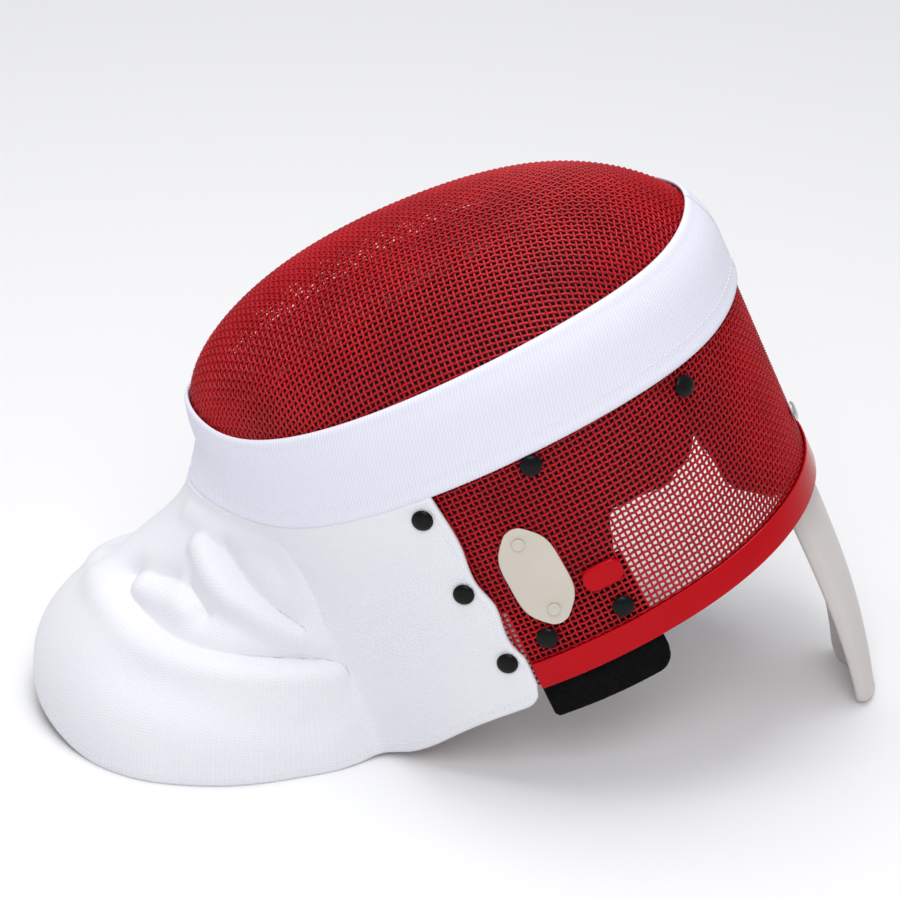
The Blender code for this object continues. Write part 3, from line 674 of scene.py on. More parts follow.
def weaveFaceMesh():
    net = domeNet()
    count = net.shape[1]
    whole = np.full((2 * count - 1, 2 * count - 1, 3), np.nan)
    flip = np.array([1, -1, 1])
    for i in range(count):
        for way, row in ((0, count - 1 + i), (1, count - 1 - i)):
            whole[row, count - 1:] = net[way, i]
            whole[row, :count] = net[way, i][::-1] * flip
    slope = domeSlope(whole)
    normals = unit(slope)
    deep = 2 * faceWires["wireRadius"]
    points = whole - normals * deep
    points = centre + points @ np.stack([along, across, faceWay])
    normals = normals @ np.stack([along, across, faceWay])
    rows, columns = np.indices(whole.shape[:2])
    signs = np.where((rows + columns) % 2 == 0, 1.0, -1.0) * faceWires["wireRadius"]
    crossLines = []
    longLines = []
    for k in range(2 * count - 1):
        crossLines += wireRuns(points[k], normals[k], signs[k])
        longLines += wireRuns(points[:, k], normals[:, k], -signs[:, k])
    for name, lines in (("faceCrossWires", crossLines), ("faceLongWires", longLines)):
        piece = tubes(name, lines, faceWires["wireRadius"], faceWires["sides"], redWire)
        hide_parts("face_mesh")
    print("face mesh woven:", len(crossLines), "cross wires,", len(longLines), "long wires")


weaveFaceMesh()

sideWires = {
    "pitch": 0.0029,
    "wireRadius": 0.00064,
    "sides": 6,
    "levelFrom": radians(45),      # nearer the chin the rows no longer follow the rim
    "rowStart": 0.0012,            # the lowest round wire above the rim
    "belowSeam": 0.0005,           # where the highest wires end
}


def weaveSideMesh():
    pitch = sideWires["pitch"]
    radius = sideWires["wireRadius"]
    dense = np.linspace(-pi, pi, 4001)
    middle = wallAt(dense, wallLength(dense) * 0.5)
    run = np.concatenate([[0], np.cumsum(np.linalg.norm(np.diff(middle, axis=0), axis=1))])
    columns = 2 * int(round(run[-1] / pitch / 2))
    turns = np.interp(np.arange(columns) * run[-1] / columns, run, dense)
    length = wallLength(turns)
    level = wallLength(np.maximum(np.abs(turns), sideWires["levelFrom"]))
    inLip = np.abs(turns) < radians(maskForm["jawAngle"])
    bottom = np.where(inLip, maskForm["chinLip"], length)
    rows = int(level.max() / pitch) + 2
    distance = level[:, None] - sideWires["rowStart"] - np.arange(rows)[None] * pitch
    points = wallAt(np.broadcast_to(turns[:, None], distance.shape), distance)
    out = wallOut(np.broadcast_to(turns[:, None], distance.shape), distance)
    points = points - out * 2 * radius
    points[(distance < sideWires["belowSeam"]) | (distance > bottom[:, None])] = np.nan
    column, row = np.indices(distance.shape)
    signs = np.where((row + column) % 2 == 0, 1.0, -1.0) * radius
    downLines = []
    for k in range(columns):
        downLines += wireRuns(points[k], out[k], signs[k])
    roundLines = []
    start = np.argmin(np.abs(turns))      # begins at the chin, so the crown has no break
    order = np.concatenate([np.arange(start, columns), np.arange(start + 1)])
    for k in range(rows):
        roundLines += wireRuns(points[order, k], out[order, k], -signs[order, k])
    for name, lines in (("sideDownWires", downLines), ("sideRoundWires", roundLines)):
        piece = tubes(name, lines, radius, sideWires["sides"], redWire)
        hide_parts("side_mesh")
    print("side mesh woven:", len(downLines), "down wires,", len(roundLines), "round wires")


weaveSideMesh()

trimBand = {
    "offset": 0.0006,
    "wall": 0.0016,
    "hemWidth": 0.0035,
    "hemRise": 0.0003,
    "hemStep": 0.0006,                   # the turned hem rises over this width
    "bridgePasses": 12,
    "stitchRows": (0.0030, 0.0085),      # up from the lower edge
    "around": 420,
    "across": 34,
}


def makeTrimBand():
    turns = np.linspace(-pi, pi, trimBand["around"], endpoint=False)
    onFace = maskForm["bandOverFace"]
    onSide = maskForm["bandOverSide"]
    width = onFace + onSide
    places = np.linspace(0, width, trimBand["across"])
    surface = np.empty((len(turns), len(places), 3))
    for k, turn in enumerate(turns):
        climb = places[places < onFace]
        drop = places[places >= onFace] - onFace
        surface[k, :len(climb)] = domeClimb(turn, onFace - climb)
        surface[k, len(climb):] = wallAt(np.full(len(drop), turn), drop)
    # the cloth bridges the edge of the seam instead of following it
    for _ in range(trimBand["bridgePasses"]):
        surface[:, 1:-1] = (surface[:, :-2] + 2 * surface[:, 1:-1] + surface[:, 2:]) / 4
    out = gridNormals(surface, closed=True)
    middle = seamAt(turns) - centre
    if ((out[:, len(places) // 2] * middle).sum(-1)).mean() < 0:
        out = -out
    edge = np.minimum(places, width - places)
    hem = np.where(edge < trimBand["hemWidth"], 1.0, 0.0) * np.clip(edge / trimBand["hemStep"], 0, 1)
    rise = trimBand["hemRise"] * hem
    run = np.concatenate([[0], np.cumsum(np.linalg.norm(np.diff(seamAt(turns), axis=0), axis=1))])
    lay = np.stack(np.broadcast_arrays(run[:, None], places[None]), axis=-1)
    low = trimBand["offset"]
    high = low + trimBand["wall"] + rise[None, :]
    piece = clothSolid("trimBand", surface, out, low, high, bandCloth, lay, closed=True)
    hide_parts("trim_band")
    ring = np.concatenate([surface, surface[:1]])
    ringOut = np.concatenate([out, out[:1]])
    sewRows("bandStitches", [besideEdge(ring, ringOut, inward, low + trimBand["wall"])
                             for inward in trimBand["stitchRows"]], whiteThread)
    print("trim band sewn round the seam")


makeTrimBand()

lining = {
    "wall": 0.0050,
    "gap": 0.0009,
    "meshWall": 0.0022,
    "belowSeam": 0.0070,
    "lipShare": 0.88,
    "layPerDegree": 0.002,
    "around": 220,
    "down": 14,
    # the lower edge: angle, share of the way down
    "edge": (
        (38, 0.18), (44, 0.68), (105, 0.69), (108.5, 0.50), (122, 0.53), (131, 0.49), (135, 0.42),
        (137, 0.70), (147, 0.85), (151, 0.88), (155, 0.88), (159, 0.55), (180, 0.55),
    ),
}


def makeLining():
    angles = np.linspace(-180, 180, lining["around"], endpoint=False)
    turns = np.radians(angles)
    edge = np.array(lining["edge"])
    bottom = wallLength(turns) * np.interp(np.abs(angles), edge[:, 0], edge[:, 1])
    inLip = np.abs(angles) < maskForm["jawAngle"]
    bottom = np.where(inLip, maskForm["chinLip"] * lining["lipShare"], bottom)
    share = np.linspace(0, 1, lining["down"])
    distance = lining["belowSeam"] + (bottom - lining["belowSeam"])[:, None] * share
    spread = np.broadcast_to(turns[:, None], distance.shape)
    surface = wallAt(spread, distance)
    out = wallOut(spread, distance)
    high = -lining["meshWall"] - lining["gap"]
    lay = np.stack(np.broadcast_arrays(angles[:, None] * lining["layPerDegree"], distance), axis=-1)
    piece = clothSolid("liningPad", surface, out, high - lining["wall"], high, navyPadding, lay,
                       closed=True)
    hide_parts("lining")
    print("lining laid inside the side mesh")


makeLining()

rimEdging = {
    "height": 0.0125,
    "wall": 0.0010,
    "gap": 0.0004,
    "meshWall": 0.0022,
    "endAngle": 81.6,
    "stations": 320,
}


def makeRimEdging():
    turns = np.radians(np.linspace(rimEdging["endAngle"], 360 - rimEdging["endAngle"],
                                   rimEdging["stations"]))
    gap = rimEdging["gap"]
    wall = rimEdging["wall"]
    inner = -rimEdging["meshWall"] - gap
    height = rimEdging["height"]
    bottom = gap + wall
    centreOut = (gap + inner) / 2
    halfOut = (gap - inner) / 2 + wall
    profile = [(gap, -height), (gap, gap), (inner, gap), (inner, -height),
               (inner - wall * 0.5, -height - wall * 0.3), (inner - wall, -height)]
    for angle in np.linspace(pi, 0, 11):
        profile.append((centreOut + halfOut * np.sign(cos(angle)) * abs(cos(angle)) ** 0.6,
                        bottom - wall * 1.2 + wall * 1.2 * sin(angle) ** 0.8))
    profile += [(gap + wall, -height), (gap + wall * 0.5, -height - wall * 0.3)]
    point, round_, down, out = wallFrame(turns, wallLength(turns))
    rings = [point + out * outward + down * drop for outward, drop in profile]
    points = np.stack(rings, axis=1)
    corners = len(profile)
    faces = gridFaces(len(turns), corners, closeColumns=True)
    faces.append(list(range(corners - 1, -1, -1)))
    last = (len(turns) - 1) * corners
    faces.append(list(range(last, last + corners)))
    piece = addMesh("rimEdging", points.reshape(-1, 3), faces, redEdging)
    piece.data.set_sharp_from_angle(angle=radians(50))
    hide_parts("rim_edging")
    print("edging folded over the rim")


makeRimEdging()

bib = {
    "wall": 0.0022,
    "gap": 0.0004,
    "topGap": 0.0010,
    "hemDrop": 0.0065,
    "reach": 0.2044,
    "halfWidth": 0.086,
    "tipLift": 0.013,
    "fold": 0.010,
    "neckShorter": 0.2,
    "browLift": 0.13,
    "browReach": 0.30,
    "frontTop": 78,
    "frontBottom": 81,
    "tabCorner": 0.010,
    # the front edge of the tab waves between its snaps: share of the way down, degrees
    "frontWave": ((0.00, 0.0), (0.24, 0.4), (0.41, -0.7), (0.56, 0.5), (0.71, -0.6), (0.86, 0.4),
                  (1.00, 0.0)),
    # the hem from chin to jaw: share, reach, half width, lift
    "hem": (
        (0.00, 1.000, 0.00, 1.00),
        (0.12, 0.985, 0.27, 0.70),
        (0.25, 0.925, 0.56, 0.30),
        (0.37, 0.845, 0.78, 0.05),
        (0.50, 0.735, 0.94, 0.00),
        (0.62, 0.615, 1.00, 0.00),
        (0.73, 0.500, 1.00, 0.00),
        (0.83, 0.385, 0.94, 0.00),
        (0.92, 0.270, 0.85, 0.00),
    ),
    # each path is (share, down) places; then width, depth and sharpness, 2 soft and 1 a crease
    "folds": (
        (((0.13, 0.43), (0.20, 0.465), (0.30, 0.49), (0.48, 0.52), (0.68, 0.535), (1.00, 0.55)),
         0.045, -0.70, 1.5),
        (((0.28, 0.38), (0.55, 0.41), (0.88, 0.47)), 0.100, -0.55, 2.0),
        (((0.05, 0.53), (0.24, 0.53), (0.38, 0.55), (0.55, 0.575), (0.80, 0.60), (0.95, 0.64)),
         0.048, 0.32, 2.0),
        (((0.38, 0.20), (0.55, 0.32), (0.70, 0.38), (0.87, 0.455)), 0.042, 0.62, 1.8),
        (((0.52, 0.16), (0.69, 0.28), (0.87, 0.40)), 0.055, -0.42, 2.0),
        (((0.22, 0.43), (0.35, 0.40), (0.44, 0.41)), 0.042, 0.45, 2.0),
        (((0.40, 0.34), (0.52, 0.41)), 0.026, -0.30, 2.0),
        (((0.15, 0.39), (0.31, 0.34)), 0.040, -0.30, 2.0),
        (((0.40, 0.66), (0.60, 0.70), (0.86, 0.80)), 0.080, -0.22, 2.0),
        (((0.93, 0.10), (0.94, 0.30), (0.97, 0.50)), 0.045, 0.40, 2.0),
        (((0.20, 0.10), (0.50, 0.10), (0.85, 0.08)), 0.045, 0.32, 2.0),
    ),
    "softenPasses": 3,
    "stitchRows": (0.0030, 0.0046),      # in from the hem and the front edges
    "edgeSkip": 9,                       # rows of the front edge without stitches, at the hem
    "jawRound": 5,
    "jawPasses": 12,
    "freeColumns": 145,
    "tabColumns": 44,
    "rows": 100,
}


def foldHeight(share, down):
    height = 0 * share
    for path, width, depth, sharpness in bib["folds"]:
        path = smoothThrough(np.arange(len(path)), path, np.linspace(0, len(path) - 1, 40))
        nearest = np.ones_like(share)
        for start, end in zip(path[:-1], path[1:]):
            run = end - start
            part = ((share - start[0]) * run[0] + (down - start[1]) * run[1]) / (run @ run)
            part = np.clip(part, 0, 1)
            away = np.hypot(share - start[0] - part * run[0], down - start[1] - part * run[1])
            nearest = np.minimum(nearest, away)
        height = height + depth * np.exp(-(nearest / width) ** sharpness)
    return height * bib["fold"]


def hemLine(share, side):
    jawTurn = radians(maskForm["jawAngle"]) * side
    jaw = wallAt(np.array(jawTurn), wallLength(np.array(jawTurn)) + bib["hemDrop"])
    places = [row[0] for row in bib["hem"]] + [1.0]
    spots = [(-bib["reach"] * row[1], side * bib["halfWidth"] * row[2], bib["tipLift"] * row[3])
             for row in bib["hem"]] + [tuple(jaw)]
    places = [-places[1]] + places
    spots = [(spots[1][0], -spots[1][1], spots[1][2])] + spots
    return smoothThrough(places, spots, share)


def freeBib(share, side, down):
    # the hanging part: share 0 at the middle of the chin and 1 at the jaw
    turn = radians(maskForm["jawAngle"]) * share * side
    top = wallAt(turn, np.full(share.shape, maskForm["bandOverSide"] + bib["topGap"]))
    hem = hemLine(share, side)
    drop = hem - top
    outward = drop * np.array([1.0, 1.0, 0.0])
    outward = unit(outward)
    height = -drop[..., 2:]
    freedom = (1 - share ** 3)[..., None]
    slope = unit(rimAt(turn) - seamAt(turn))
    size = np.linalg.norm(drop, axis=-1, keepdims=True)
    neck = top + slope * size / 3 * (1 - bib["neckShorter"] * freedom)
    bulge = outward * bib["browReach"] + np.array([0.0, 0.0, bib["browLift"]])
    brow = top + drop * 2 / 3 + bulge * height * freedom
    t = down[..., None]
    rest = 1 - t
    point = rest ** 3 * top + 3 * rest ** 2 * t * neck + 3 * rest * t ** 2 * brow + t ** 3 * hem
    ends = np.minimum(1.0, 6 * down * (1 - down))
    besideJaw = np.minimum(1.0, (1 - share) * 25)
    away = outward * 0.75 + np.array([0.0, 0.0, 0.66])
    return point + away * (foldHeight(share, down) * ends * besideJaw)[..., None]


def tabBib(part, side, down):
    # the flat tab on the side wall: part 0 at the jaw and 1 at its front edge
    places, waves = zip(*bib["frontWave"])
    front = bib["frontTop"] + (bib["frontBottom"] - bib["frontTop"]) * down
    front = front + smoothThrough(places, waves, down)
    turn = side * np.radians(maskForm["jawAngle"] + (front - maskForm["jawAngle"]) * part)
    start = maskForm["bandOverSide"] + bib["topGap"]
    fromFront = np.abs(radians(bib["frontBottom"]) - np.abs(turn)) * wallReach(turn, wallLength(turn))
    inCorner = np.clip(1 - fromFront / bib["tabCorner"], 0, 1)
    end = wallLength(turn) + bib["hemDrop"] - bib["tabCorner"] * (1 - np.sqrt(1 - inCorner ** 2))
    return wallAt(turn, start + (end - start) * down)


def bibSurface():
    downs = np.linspace(0, 1, bib["rows"])
    columns = []
    tab = np.linspace(0, 1, bib["tabColumns"] + 1)[1:]
    for part in tab[::-1]:
        columns.append(tabBib(np.full_like(downs, part), -1, downs))
    for share in np.linspace(-1, 1, 2 * bib["freeColumns"] + 1):
        side = -1 if share < 0 else 1
        columns.append(freeBib(np.full_like(downs, abs(share)), side, downs))
    for part in tab:
        columns.append(tabBib(np.full_like(downs, part), 1, downs))
    surface = np.array(columns)
    free = slice(bib["tabColumns"] + 1, bib["tabColumns"] + 2 * bib["freeColumns"])
    for _ in range(bib["softenPasses"]):
        inner = surface[free, 1:-1]
        beside = surface[free.start - 1:free.stop - 1, 1:-1] + surface[free.start + 1:free.stop + 1, 1:-1]
        above = surface[free, :-2] + surface[free, 2:]
        surface[free, 1:-1] = inner / 2 + (beside + above) / 8
    # the cloth rounds the corners of the jaw instead of breaking there
    for jaw in (bib["tabColumns"], bib["tabColumns"] + 2 * bib["freeColumns"]):
        near = slice(jaw - bib["jawRound"], jaw + bib["jawRound"] + 1)
        before = slice(near.start - 1, near.stop - 1)
        after = slice(near.start + 1, near.stop + 1)
        for _ in range(bib["jawPasses"]):
            surface[near] = (surface[before] + 2 * surface[near] + surface[after]) / 4
    return surface


def makeBib():
    surface = bibSurface()
    out = gridNormals(surface)
    if out[len(out) // 2, 10] @ np.array([-1.0, 0.0, 0.3]) < 0:
        out = -out
    alongRun = np.concatenate([[0], np.cumsum(np.linalg.norm(np.diff(surface[:, 50], axis=0), axis=1))])
    downRun = np.linalg.norm(np.diff(surface, axis=1), axis=2)
    downRun = np.concatenate([np.zeros((len(surface), 1)), np.cumsum(downRun, axis=1)], axis=1)
    lay = np.stack(np.broadcast_arrays(alongRun[:, None], downRun), axis=-1)
    low = bib["gap"]
    high = low + bib["wall"]
    piece = clothSolid("bibCloth", surface, out, low, high, bibCloth, lay)
    # the inner face of the bib gets the dark navy backing, which also paints the shade inside the bib
    backFaces(piece, surface.shape, bibBackingPaintedShade)
    for vertex in piece.data.vertices:
        vertex.co.z = max(vertex.co.z, 0.0)
    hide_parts("bib")
    rows = []
    for inward in bib["stitchRows"]:
        rows.append(besideEdge(surface[2:-2], out[2:-2], inward, high))
        for end in (1, -1):
            front = surface[::end].transpose(1, 0, 2)[:-bib["edgeSkip"]]
            frontOut = out[::end].transpose(1, 0, 2)[:-bib["edgeSkip"]]
            rows.append(besideEdge(front, frontOut, inward, high))
    sewRows("bibStitches", rows, whiteThread)


makeBib()

tongue = {
    "width": 0.056,
    "thickness": 0.0125,
    "bend": 0.0065,
    "corner": 0.008,
    "pastRim": 0.0340,
    "footLean": radians(11),
    "footTurn": 0.14,       # share of its width that the far border lies ahead at the foot
    "footThinner": 0.30,
    "recess": 0.0035,       # the inner face lies inside a raised border
    "border": 0.0075,
    "rootDown": 0.62,
    "stations": 100,
    "around": 96,
}


def makeTongue():
    crown = np.array(pi)
    inset = (rimEdging["meshWall"] + rimEdging["wall"] + 2 * rimEdging["gap"]
             + tongue["thickness"] / 2)
    root, _, down, out = wallFrame(crown, wallLength(crown) * tongue["rootDown"])
    start = root - out * inset
    foot = np.array([rimAt(crown)[0] + tongue["pastRim"], 0.0, 0.0])
    reach = np.linalg.norm(foot - start) / 3
    heading = np.array([sin(tongue["footLean"]), 0.0, -cos(tongue["footLean"])])
    handles = (start, start + down * reach, foot - heading * reach, foot)
    t = np.linspace(0, 1, tongue["stations"])[:, None]
    rest = 1 - t
    middle = (rest ** 3 * handles[0] + 3 * rest ** 2 * t * handles[1]
              + 3 * rest * t ** 2 * handles[2] + t ** 3 * handles[3])
    back = out * rest + np.array([1.0, 0.0, 0.0]) * t
    back[:, 1] = 0
    back = unit(back)
    angle = np.linspace(0, 2 * pi, tongue["around"], endpoint=False)
    wide = np.sign(np.cos(angle)) * np.abs(np.cos(angle)) ** 0.42
    deep = np.sign(np.sin(angle)) * np.abs(np.sin(angle)) ** 0.62
    toEnd = np.minimum(t, rest)[:, 0] * np.linalg.norm(foot - start)
    corner = np.maximum(0.0, 1 - toEnd / tongue["corner"])
    halfWidth = tongue["width"] / 2 - tongue["corner"] * (1 - np.sqrt(1 - corner ** 2))
    halfDepth = tongue["thickness"] / 2 * (1 - tongue["footThinner"] * t ** 3)
    fromBorder = np.minimum((1 - np.abs(wide))[None] * tongue["width"] / 2, toEnd[:, None])
    inside = np.clip((fromBorder - tongue["border"] / 2) / tongue["border"], 0, 1)
    sunk = tongue["recess"] * inside ** 2 * (3 - 2 * inside) * (deep < 0)
    ahead = tongue["footTurn"] * t ** 3 * (1 + wide) * halfWidth[:, None]
    off = deep * halfDepth + sunk - tongue["bend"] * wide ** 2 - ahead
    points = (middle[:, None] + across * (halfWidth[:, None] * wide[None])[..., None]
              + back[:, None] * off[..., None])
    count = tongue["around"]
    faces = gridFaces(len(t), count, closeColumns=True)
    faces.append(list(range(count - 1, -1, -1)))
    last = (len(t) - 1) * count
    faces.append(list(range(last, last + count)))
    points = points.reshape(-1, 3)
    points[:, 2] = np.maximum(points[:, 2], 0.0)
    piece = addMesh("tonguePad", points, faces, tongueCloth)
    piece.data.set_sharp_from_angle(angle=radians(50))
    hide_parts("tongue")
    print("tongue padded")


makeTongue()

jawPad = {
    "thickness": 0.0150,
    "belowRim": 0.0195,
    "edgeShare": 0.55,
    "top": 0.72,
    "wallInside": 0.0040,      # mesh, edging and two gaps
    "rows": 62,
    "columns": 50,
    "fibres": 24000,
    "fibreLength": 0.0024,
    "fibreRadius": 0.00010,
    "fibreRoot": 0.0003,       # how deep a fibre starts in the pad
    "fibreSpread": 0.35,
}


def makeJawPad(side, name, node, front, back, cornerShare):
    rows = jawPad["rows"]
    columns = jawPad["columns"]
    outer = jawPad["wallInside"]
    acrossShare = np.linspace(0, 1, rows)[:, None]
    downShare = np.linspace(0, 1, columns)[None]
    turn = side * np.radians(front + (back - front) * acrossShare)
    length = wallLength(turn)
    toBack = radians(back - front) * (1 - acrossShare) * wallReach(turn, length)
    inCorner = np.maximum(0.0, 1 - toBack / (cornerShare * jawPad["belowRim"]))
    drop = jawPad["belowRim"] * (1 - (1 - np.sqrt(1 - inCorner ** 2)) * min(1.0, cornerShare))
    top = length * jawPad["top"]
    distance = top + (length + drop - top) * downShare
    turn = np.broadcast_to(turn, (rows, columns))
    point, _, _, out = wallFrame(turn, distance)
    border = np.minimum(np.minimum(acrossShare, 1 - acrossShare) * 6,
                        np.minimum(downShare, 1 - downShare) * 5)
    border = np.clip(border, 0, 1)
    thickness = jawPad["thickness"] * (jawPad["edgeShare"] + (1 - jawPad["edgeShare"])
                                       * np.sqrt(1 - (1 - border) ** 2))
    middle = outer + jawPad["thickness"] / 2
    middlePoints = point - out * middle
    piece = clothSolid(name, middlePoints, out, -thickness / 2, thickness / 2, blackPlush,
                       np.zeros((rows, columns, 2)))
    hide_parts(node)
    # short fibres over the whole pad, each a thin spike
    mesh = piece.data
    corners = np.array([v.co[:] for v in mesh.vertices])
    mesh.calc_loop_triangles()
    triangles = np.array([t.vertices[:] for t in mesh.loop_triangles])
    edgeA = corners[triangles[:, 1]] - corners[triangles[:, 0]]
    edgeB = corners[triangles[:, 2]] - corners[triangles[:, 0]]
    normal = np.cross(edgeA, edgeB)
    areas = np.linalg.norm(normal, axis=1)
    count = jawPad["fibres"]
    pick = dice.choice(len(triangles), count, p=areas / areas.sum())
    u, v = dice.random((2, count, 1))
    swap = (u + v > 1)
    u = np.where(swap, 1 - u, u)
    v = np.where(swap, 1 - v, v)
    roots = corners[triangles[pick, 0]] + edgeA[pick] * u + edgeB[pick] * v
    way = unit(unit(normal[pick]) + dice.normal(0, jawPad["fibreSpread"], (count, 3)))
    sideWay = unit(np.cross(way, dice.normal(0, 1, (count, 3))))
    otherWay = np.cross(way, sideWay)
    long = jawPad["fibreLength"] * dice.uniform(0.5, 1.15, (count, 1))
    thin = jawPad["fibreRadius"]
    base = roots - way * jawPad["fibreRoot"]
    points = np.stack([base + sideWay * thin, base - sideWay * thin * 0.5 + otherWay * thin * 0.87,
                       base - sideWay * thin * 0.5 - otherWay * thin * 0.87, roots + way * long], axis=1)
    index = np.arange(count)[:, None] * 4
    faces = np.concatenate([index + np.array(f) for f in ((0, 1, 3), (1, 2, 3), (2, 0, 3), (2, 1, 0))])
    fur = addMesh(name + "Fibres", points.reshape(-1, 3), faces.tolist(), blackPlush, smooth=False)


makeJawPad(-1, "jawPadLeft", "jaw_pad_left", 80.1, 107, 0.5)
makeJawPad(1, "jawPadRight", "jaw_pad_right", 80.1, 119, 1.5)
print("plush pads done")

snaps = {
    "radius": 0.0053,
    "height": 0.0026,
    "standOff": 0.0008,
    "overBib": 0.0022,
    # name, angle, share of the way down, over the bib
    "spots": (
        ("crown", 136, 0.255, False), ("temple", 99, 0.215, False),
        ("bib_top", 74.5, 0.24, True), ("bib_middle", 75.5, 0.555, True),
        ("bib_bottom", 77.5, 0.86, True), ("pad_front", 87, 0.83, False),
        ("pad_back", 102.7, 0.84, False),
    ),
}


def turnedButton(name, turn, distance, standOff, radius, height, profile, finish, segments=48):
    point, round_, down, out = wallFrame(np.array(turn), distance)
    base = point + out * standOff
    angle = np.linspace(0, 2 * pi, segments, endpoint=False)
    spokes = np.cos(angle)[:, None] * round_ + np.sin(angle)[:, None] * down
    rings = [base + spokes * radius * r + out * height * h for r, h in profile]
    points = np.concatenate(rings)
    faces = gridFaces(len(profile), segments, closeColumns=True)
    faces.append(list(range(segments - 1, -1, -1)))
    last = (len(profile) - 1) * segments
    faces.append(list(range(last, last + segments)))
    piece = addMesh(name, points, faces, finish)
    piece.data.set_sharp_from_angle(angle=radians(60))
    return piece


def makeSnaps():
    dome = [(0.86, 0.0), (0.94, 0.03), (0.985, 0.12), (1.0, 0.24), (0.985, 0.36), (0.95, 0.46)]
    for angle in np.linspace(0.25, 1.5, 8):
        risen = (sin(angle) - sin(0.25)) / (1 - sin(0.25))
        dome.append((0.95 * cos(angle) / cos(0.25), 0.46 + 0.54 * risen))
    for side, sideName in ((-1, "left"), (1, "right")):
        for spot, angle, share, overBib in snaps["spots"]:
            turn = side * radians(angle)
            standOff = snaps["standOff"] + (snaps["overBib"] if overBib else 0.0)
            distance = wallLength(np.array(turn)) * share
            words = spot.split("_")
            name = "snap" + sideName.capitalize() + "".join(word.capitalize() for word in words)
            piece = turnedButton(name, turn, distance, standOff, snaps["radius"], snaps["height"],
                                 dome, blackSnap)
            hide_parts(f"snap_{sideName}_{spot}")


makeSnaps()
print("snaps pressed in")

plate = {
    "angle": 90.3,
    "down": 0.60,
    "length": 0.053,
    "width": 0.027,
    "wall": 0.0008,
    "gap": 0.0004,
    "turn": radians(3.2),
    "rivetRadius": 0.0030,
    "rivetHeight": 0.0010,
    "rivetShare": 0.35,
    # from its middle to either end: share of half its length, share of half its width
    "outline": (
        (0.00, 1.00), (0.33, 0.99), (0.48, 0.95), (0.60, 0.87), (0.70, 0.76), (0.84, 0.53),
        (0.93, 0.35), (0.98, 0.20), (1.00, 0.05),
    ),
}

badge = {"angle": 101.9, "down": 0.70, "length": 0.0195, "width": 0.0105, "height": 0.0022}


def patchOnWall(name, angle, share, lines, low, high, finish):
    # a thin solid on the left wall; lines hold distances round and down
    turn = -radians(angle)
    distance = wallLength(np.array(turn)) * share
    reach = wallReach(turn, distance)
    spots = np.array(lines)
    turns = turn + spots[..., 0] / reach
    surface = wallAt(turns, distance + spots[..., 1])
    out = wallOut(turns, distance + spots[..., 1])
    return clothSolid(name, surface, out, low, high, finish, np.zeros((*spots.shape[:2], 2)))


def onPlate(acrossPlate, downPlate):
    # a place on the plate as distances round and down the wall
    turn = plate["turn"]
    return np.stack([acrossPlate * cos(turn) - downPlate * sin(turn),
                     acrossPlate * sin(turn) + downPlate * cos(turn)], axis=-1)


def makePlate():
    outline = np.array(plate["outline"])
    downShare = np.sin(np.linspace(-pi / 2, pi / 2, 81)) * 0.9995
    width = smoothThrough(outline[:, 0], outline[:, 1], np.abs(downShare)) * plate["width"] / 2
    acrossShare = np.linspace(-1, 1, 25)
    lines = onPlate(width[:, None] * acrossShare,
                    np.broadcast_to(downShare[:, None] * plate["length"] / 2, (81, 25)))
    piece = patchOnWall("labelPlate", plate["angle"], plate["down"], lines, plate["gap"],
                        plate["gap"] + plate["wall"], creamPlate)
    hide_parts("label_plate")
    turn = -radians(plate["angle"])
    middle = wallLength(np.array(turn)) * plate["down"]
    head = [(0.9, 0.0), (0.98, 0.25), (1.0, 0.5), (0.96, 0.8), (0.86, 0.96), (0.72, 1.0),
            (0.62, 0.94), (0.55, 0.80), (0.3, 0.74), (0.08, 0.73)]
    for name, node, share in (("plateRivetUpper", "plate_rivet_upper", -plate["rivetShare"]),
                              ("plateRivetLower", "plate_rivet_lower", plate["rivetShare"])):
        round_, down = onPlate(0.0, share * plate["length"])
        rivet = turnedButton(name, turn + round_ / wallReach(turn, middle), middle + down,
                             2 * plate["gap"] + plate["wall"], plate["rivetRadius"],
                             plate["rivetHeight"], head, creamPlate)
        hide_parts(node)


def makeBadge():
    lines = []
    straight = badge["length"] - badge["width"]
    for k in np.sin(np.linspace(-pi / 2, pi / 2, 49)) * 0.9999:
        around = k * badge["length"] / 2
        inEnd = max(0.0, abs(around) - straight / 2)
        halfHeight = sqrt(max(0.0, (badge["width"] / 2) ** 2 - inEnd ** 2))
        lines.append([(around, down * halfHeight) for down in np.linspace(-1, 1, 17)])
    piece = patchOnWall("sideBadge", badge["angle"], badge["down"], lines, plate["gap"],
                        plate["gap"] + badge["height"], redEdging)
    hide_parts("side_badge")


makePlate()
makeBadge()


crownRivet = {"down": 0.78, "standOff": 0.0008, "radius": 0.0050, "height": 0.0018}


def makeCrownRivet():
    crown = np.array(pi)
    head = [(0.9, 0.0), (1.0, 0.15), (0.97, 0.45), (0.85, 0.75), (0.62, 0.93), (0.3, 1.0), (0.06, 1.0)]
    piece = turnedButton("crownRivet", pi, wallLength(crown) * crownRivet["down"],
                         crownRivet["standOff"], crownRivet["radius"], crownRivet["height"], head,
                         rivetSteel)
    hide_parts("crown_rivet")


makeCrownRivet()
print("plate, badge and rivets in place")

# the stage, the light and the camera

stageSet = {"floorSize": 12.0, "floorColour": (0.90, 0.90, 0.905)}


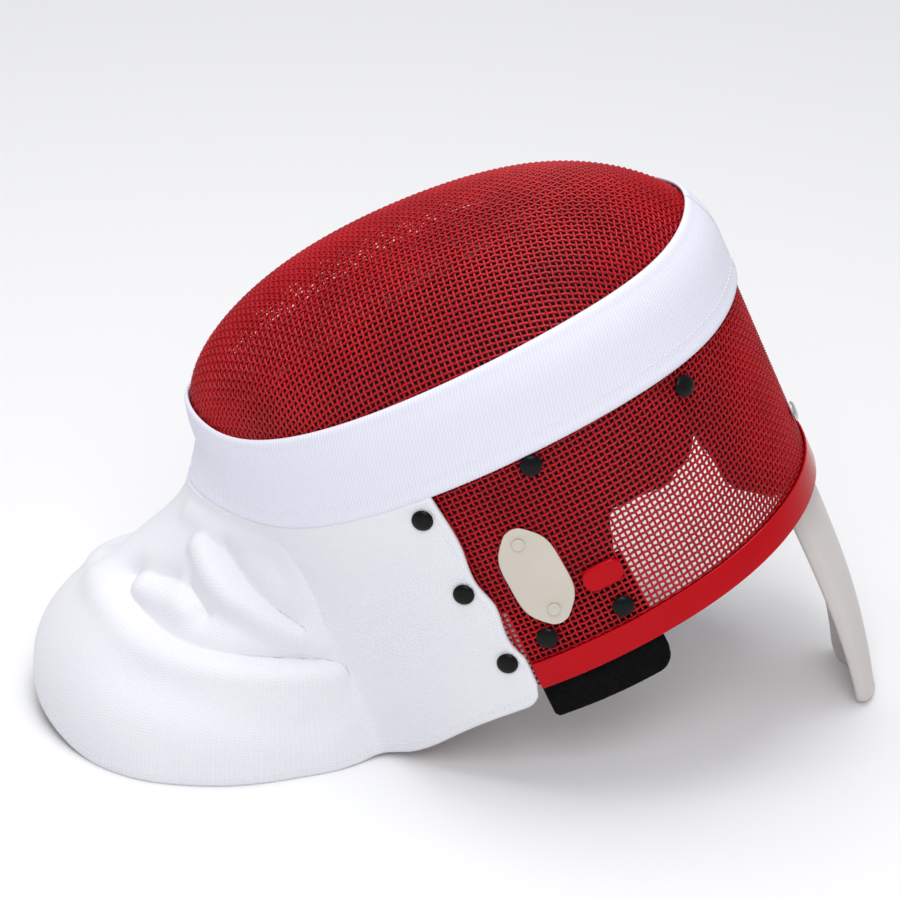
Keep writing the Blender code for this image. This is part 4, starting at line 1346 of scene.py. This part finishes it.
def makeFloor():
    half = stageSet["floorSize"] / 2
    mesh = bpy.data.meshes.new("floor")
    mesh.from_pydata([(-half, -half, 0), (half, -half, 0), (half, half, 0), (-half, half, 0)], [],
                     [(0, 1, 2, 3)])
    finish, shader = newFinish("paleFloor", stageSet["floorColour"], 0.6)
    mesh.materials.append(finish)
    floor = bpy.data.objects.new("floor", mesh)
    floor.location.z = -0.0002
    bpy.context.scene.collection.objects.link(floor)


studio = {
    "skyColour": (0.95, 0.96, 1.0),
    "skyStrength": 0.52,
    "aim": (0, 0, 0.1),
    # name, place, size in metres, power in watts
    "lights": (
        ("bigSoftBox", (-0.16, 0.1, 1.7), 1.1, 14.0),
        ("frontFill", (0.05, -1.45, 1.65), 1.0, 16.0),
    ),
}


def addLight(name, place, size, power):
    light = bpy.data.lights.new(name, "AREA")
    light.shape = "SQUARE"
    light.size = size
    light.energy = power
    lamp = bpy.data.objects.new(name, light)
    lamp.location = place
    lamp.rotation_euler = (Vector(studio["aim"]) - Vector(place)).to_track_quat("-Z", "Y").to_euler()
    bpy.context.scene.collection.objects.link(lamp)


def makeLights():
    world = bpy.data.worlds.new("studio")
    world.use_nodes = True
    back = world.node_tree.nodes["Background"]
    back.inputs["Color"].default_value = (*studio["skyColour"], 1)
    back.inputs["Strength"].default_value = studio["skyStrength"]
    bpy.context.scene.world = world
    bpy.context.scene.view_settings.view_transform = "Standard"
    for light in studio["lights"]:
        addLight(*light)


camera = {
    "target": (-0.0024, 0.0, 0.132),
    "distance": 2.0,
    "height": radians(29),
    "turn": radians(-1.5),
    "fieldWidth": 0.432,
    "sensor": 36.0,
}


def makeCamera():
    target = Vector(camera["target"])
    height = camera["height"]
    turn = camera["turn"]
    way = Vector((sin(turn) * cos(height), -cos(turn) * cos(height), sin(height)))
    lens = bpy.data.cameras.new("camera")
    lens.sensor_width = camera["sensor"]
    lens.lens = camera["sensor"] * camera["distance"] / camera["fieldWidth"]
    eye = bpy.data.objects.new("camera", lens)
    eye.location = target + way * camera["distance"]
    eye.rotation_euler = (target - eye.location).to_track_quat("-Z", "Y").to_euler()
    bpy.context.scene.collection.objects.link(eye)
    bpy.context.scene.camera = eye


makeFloor()
makeLights()
makeCamera()
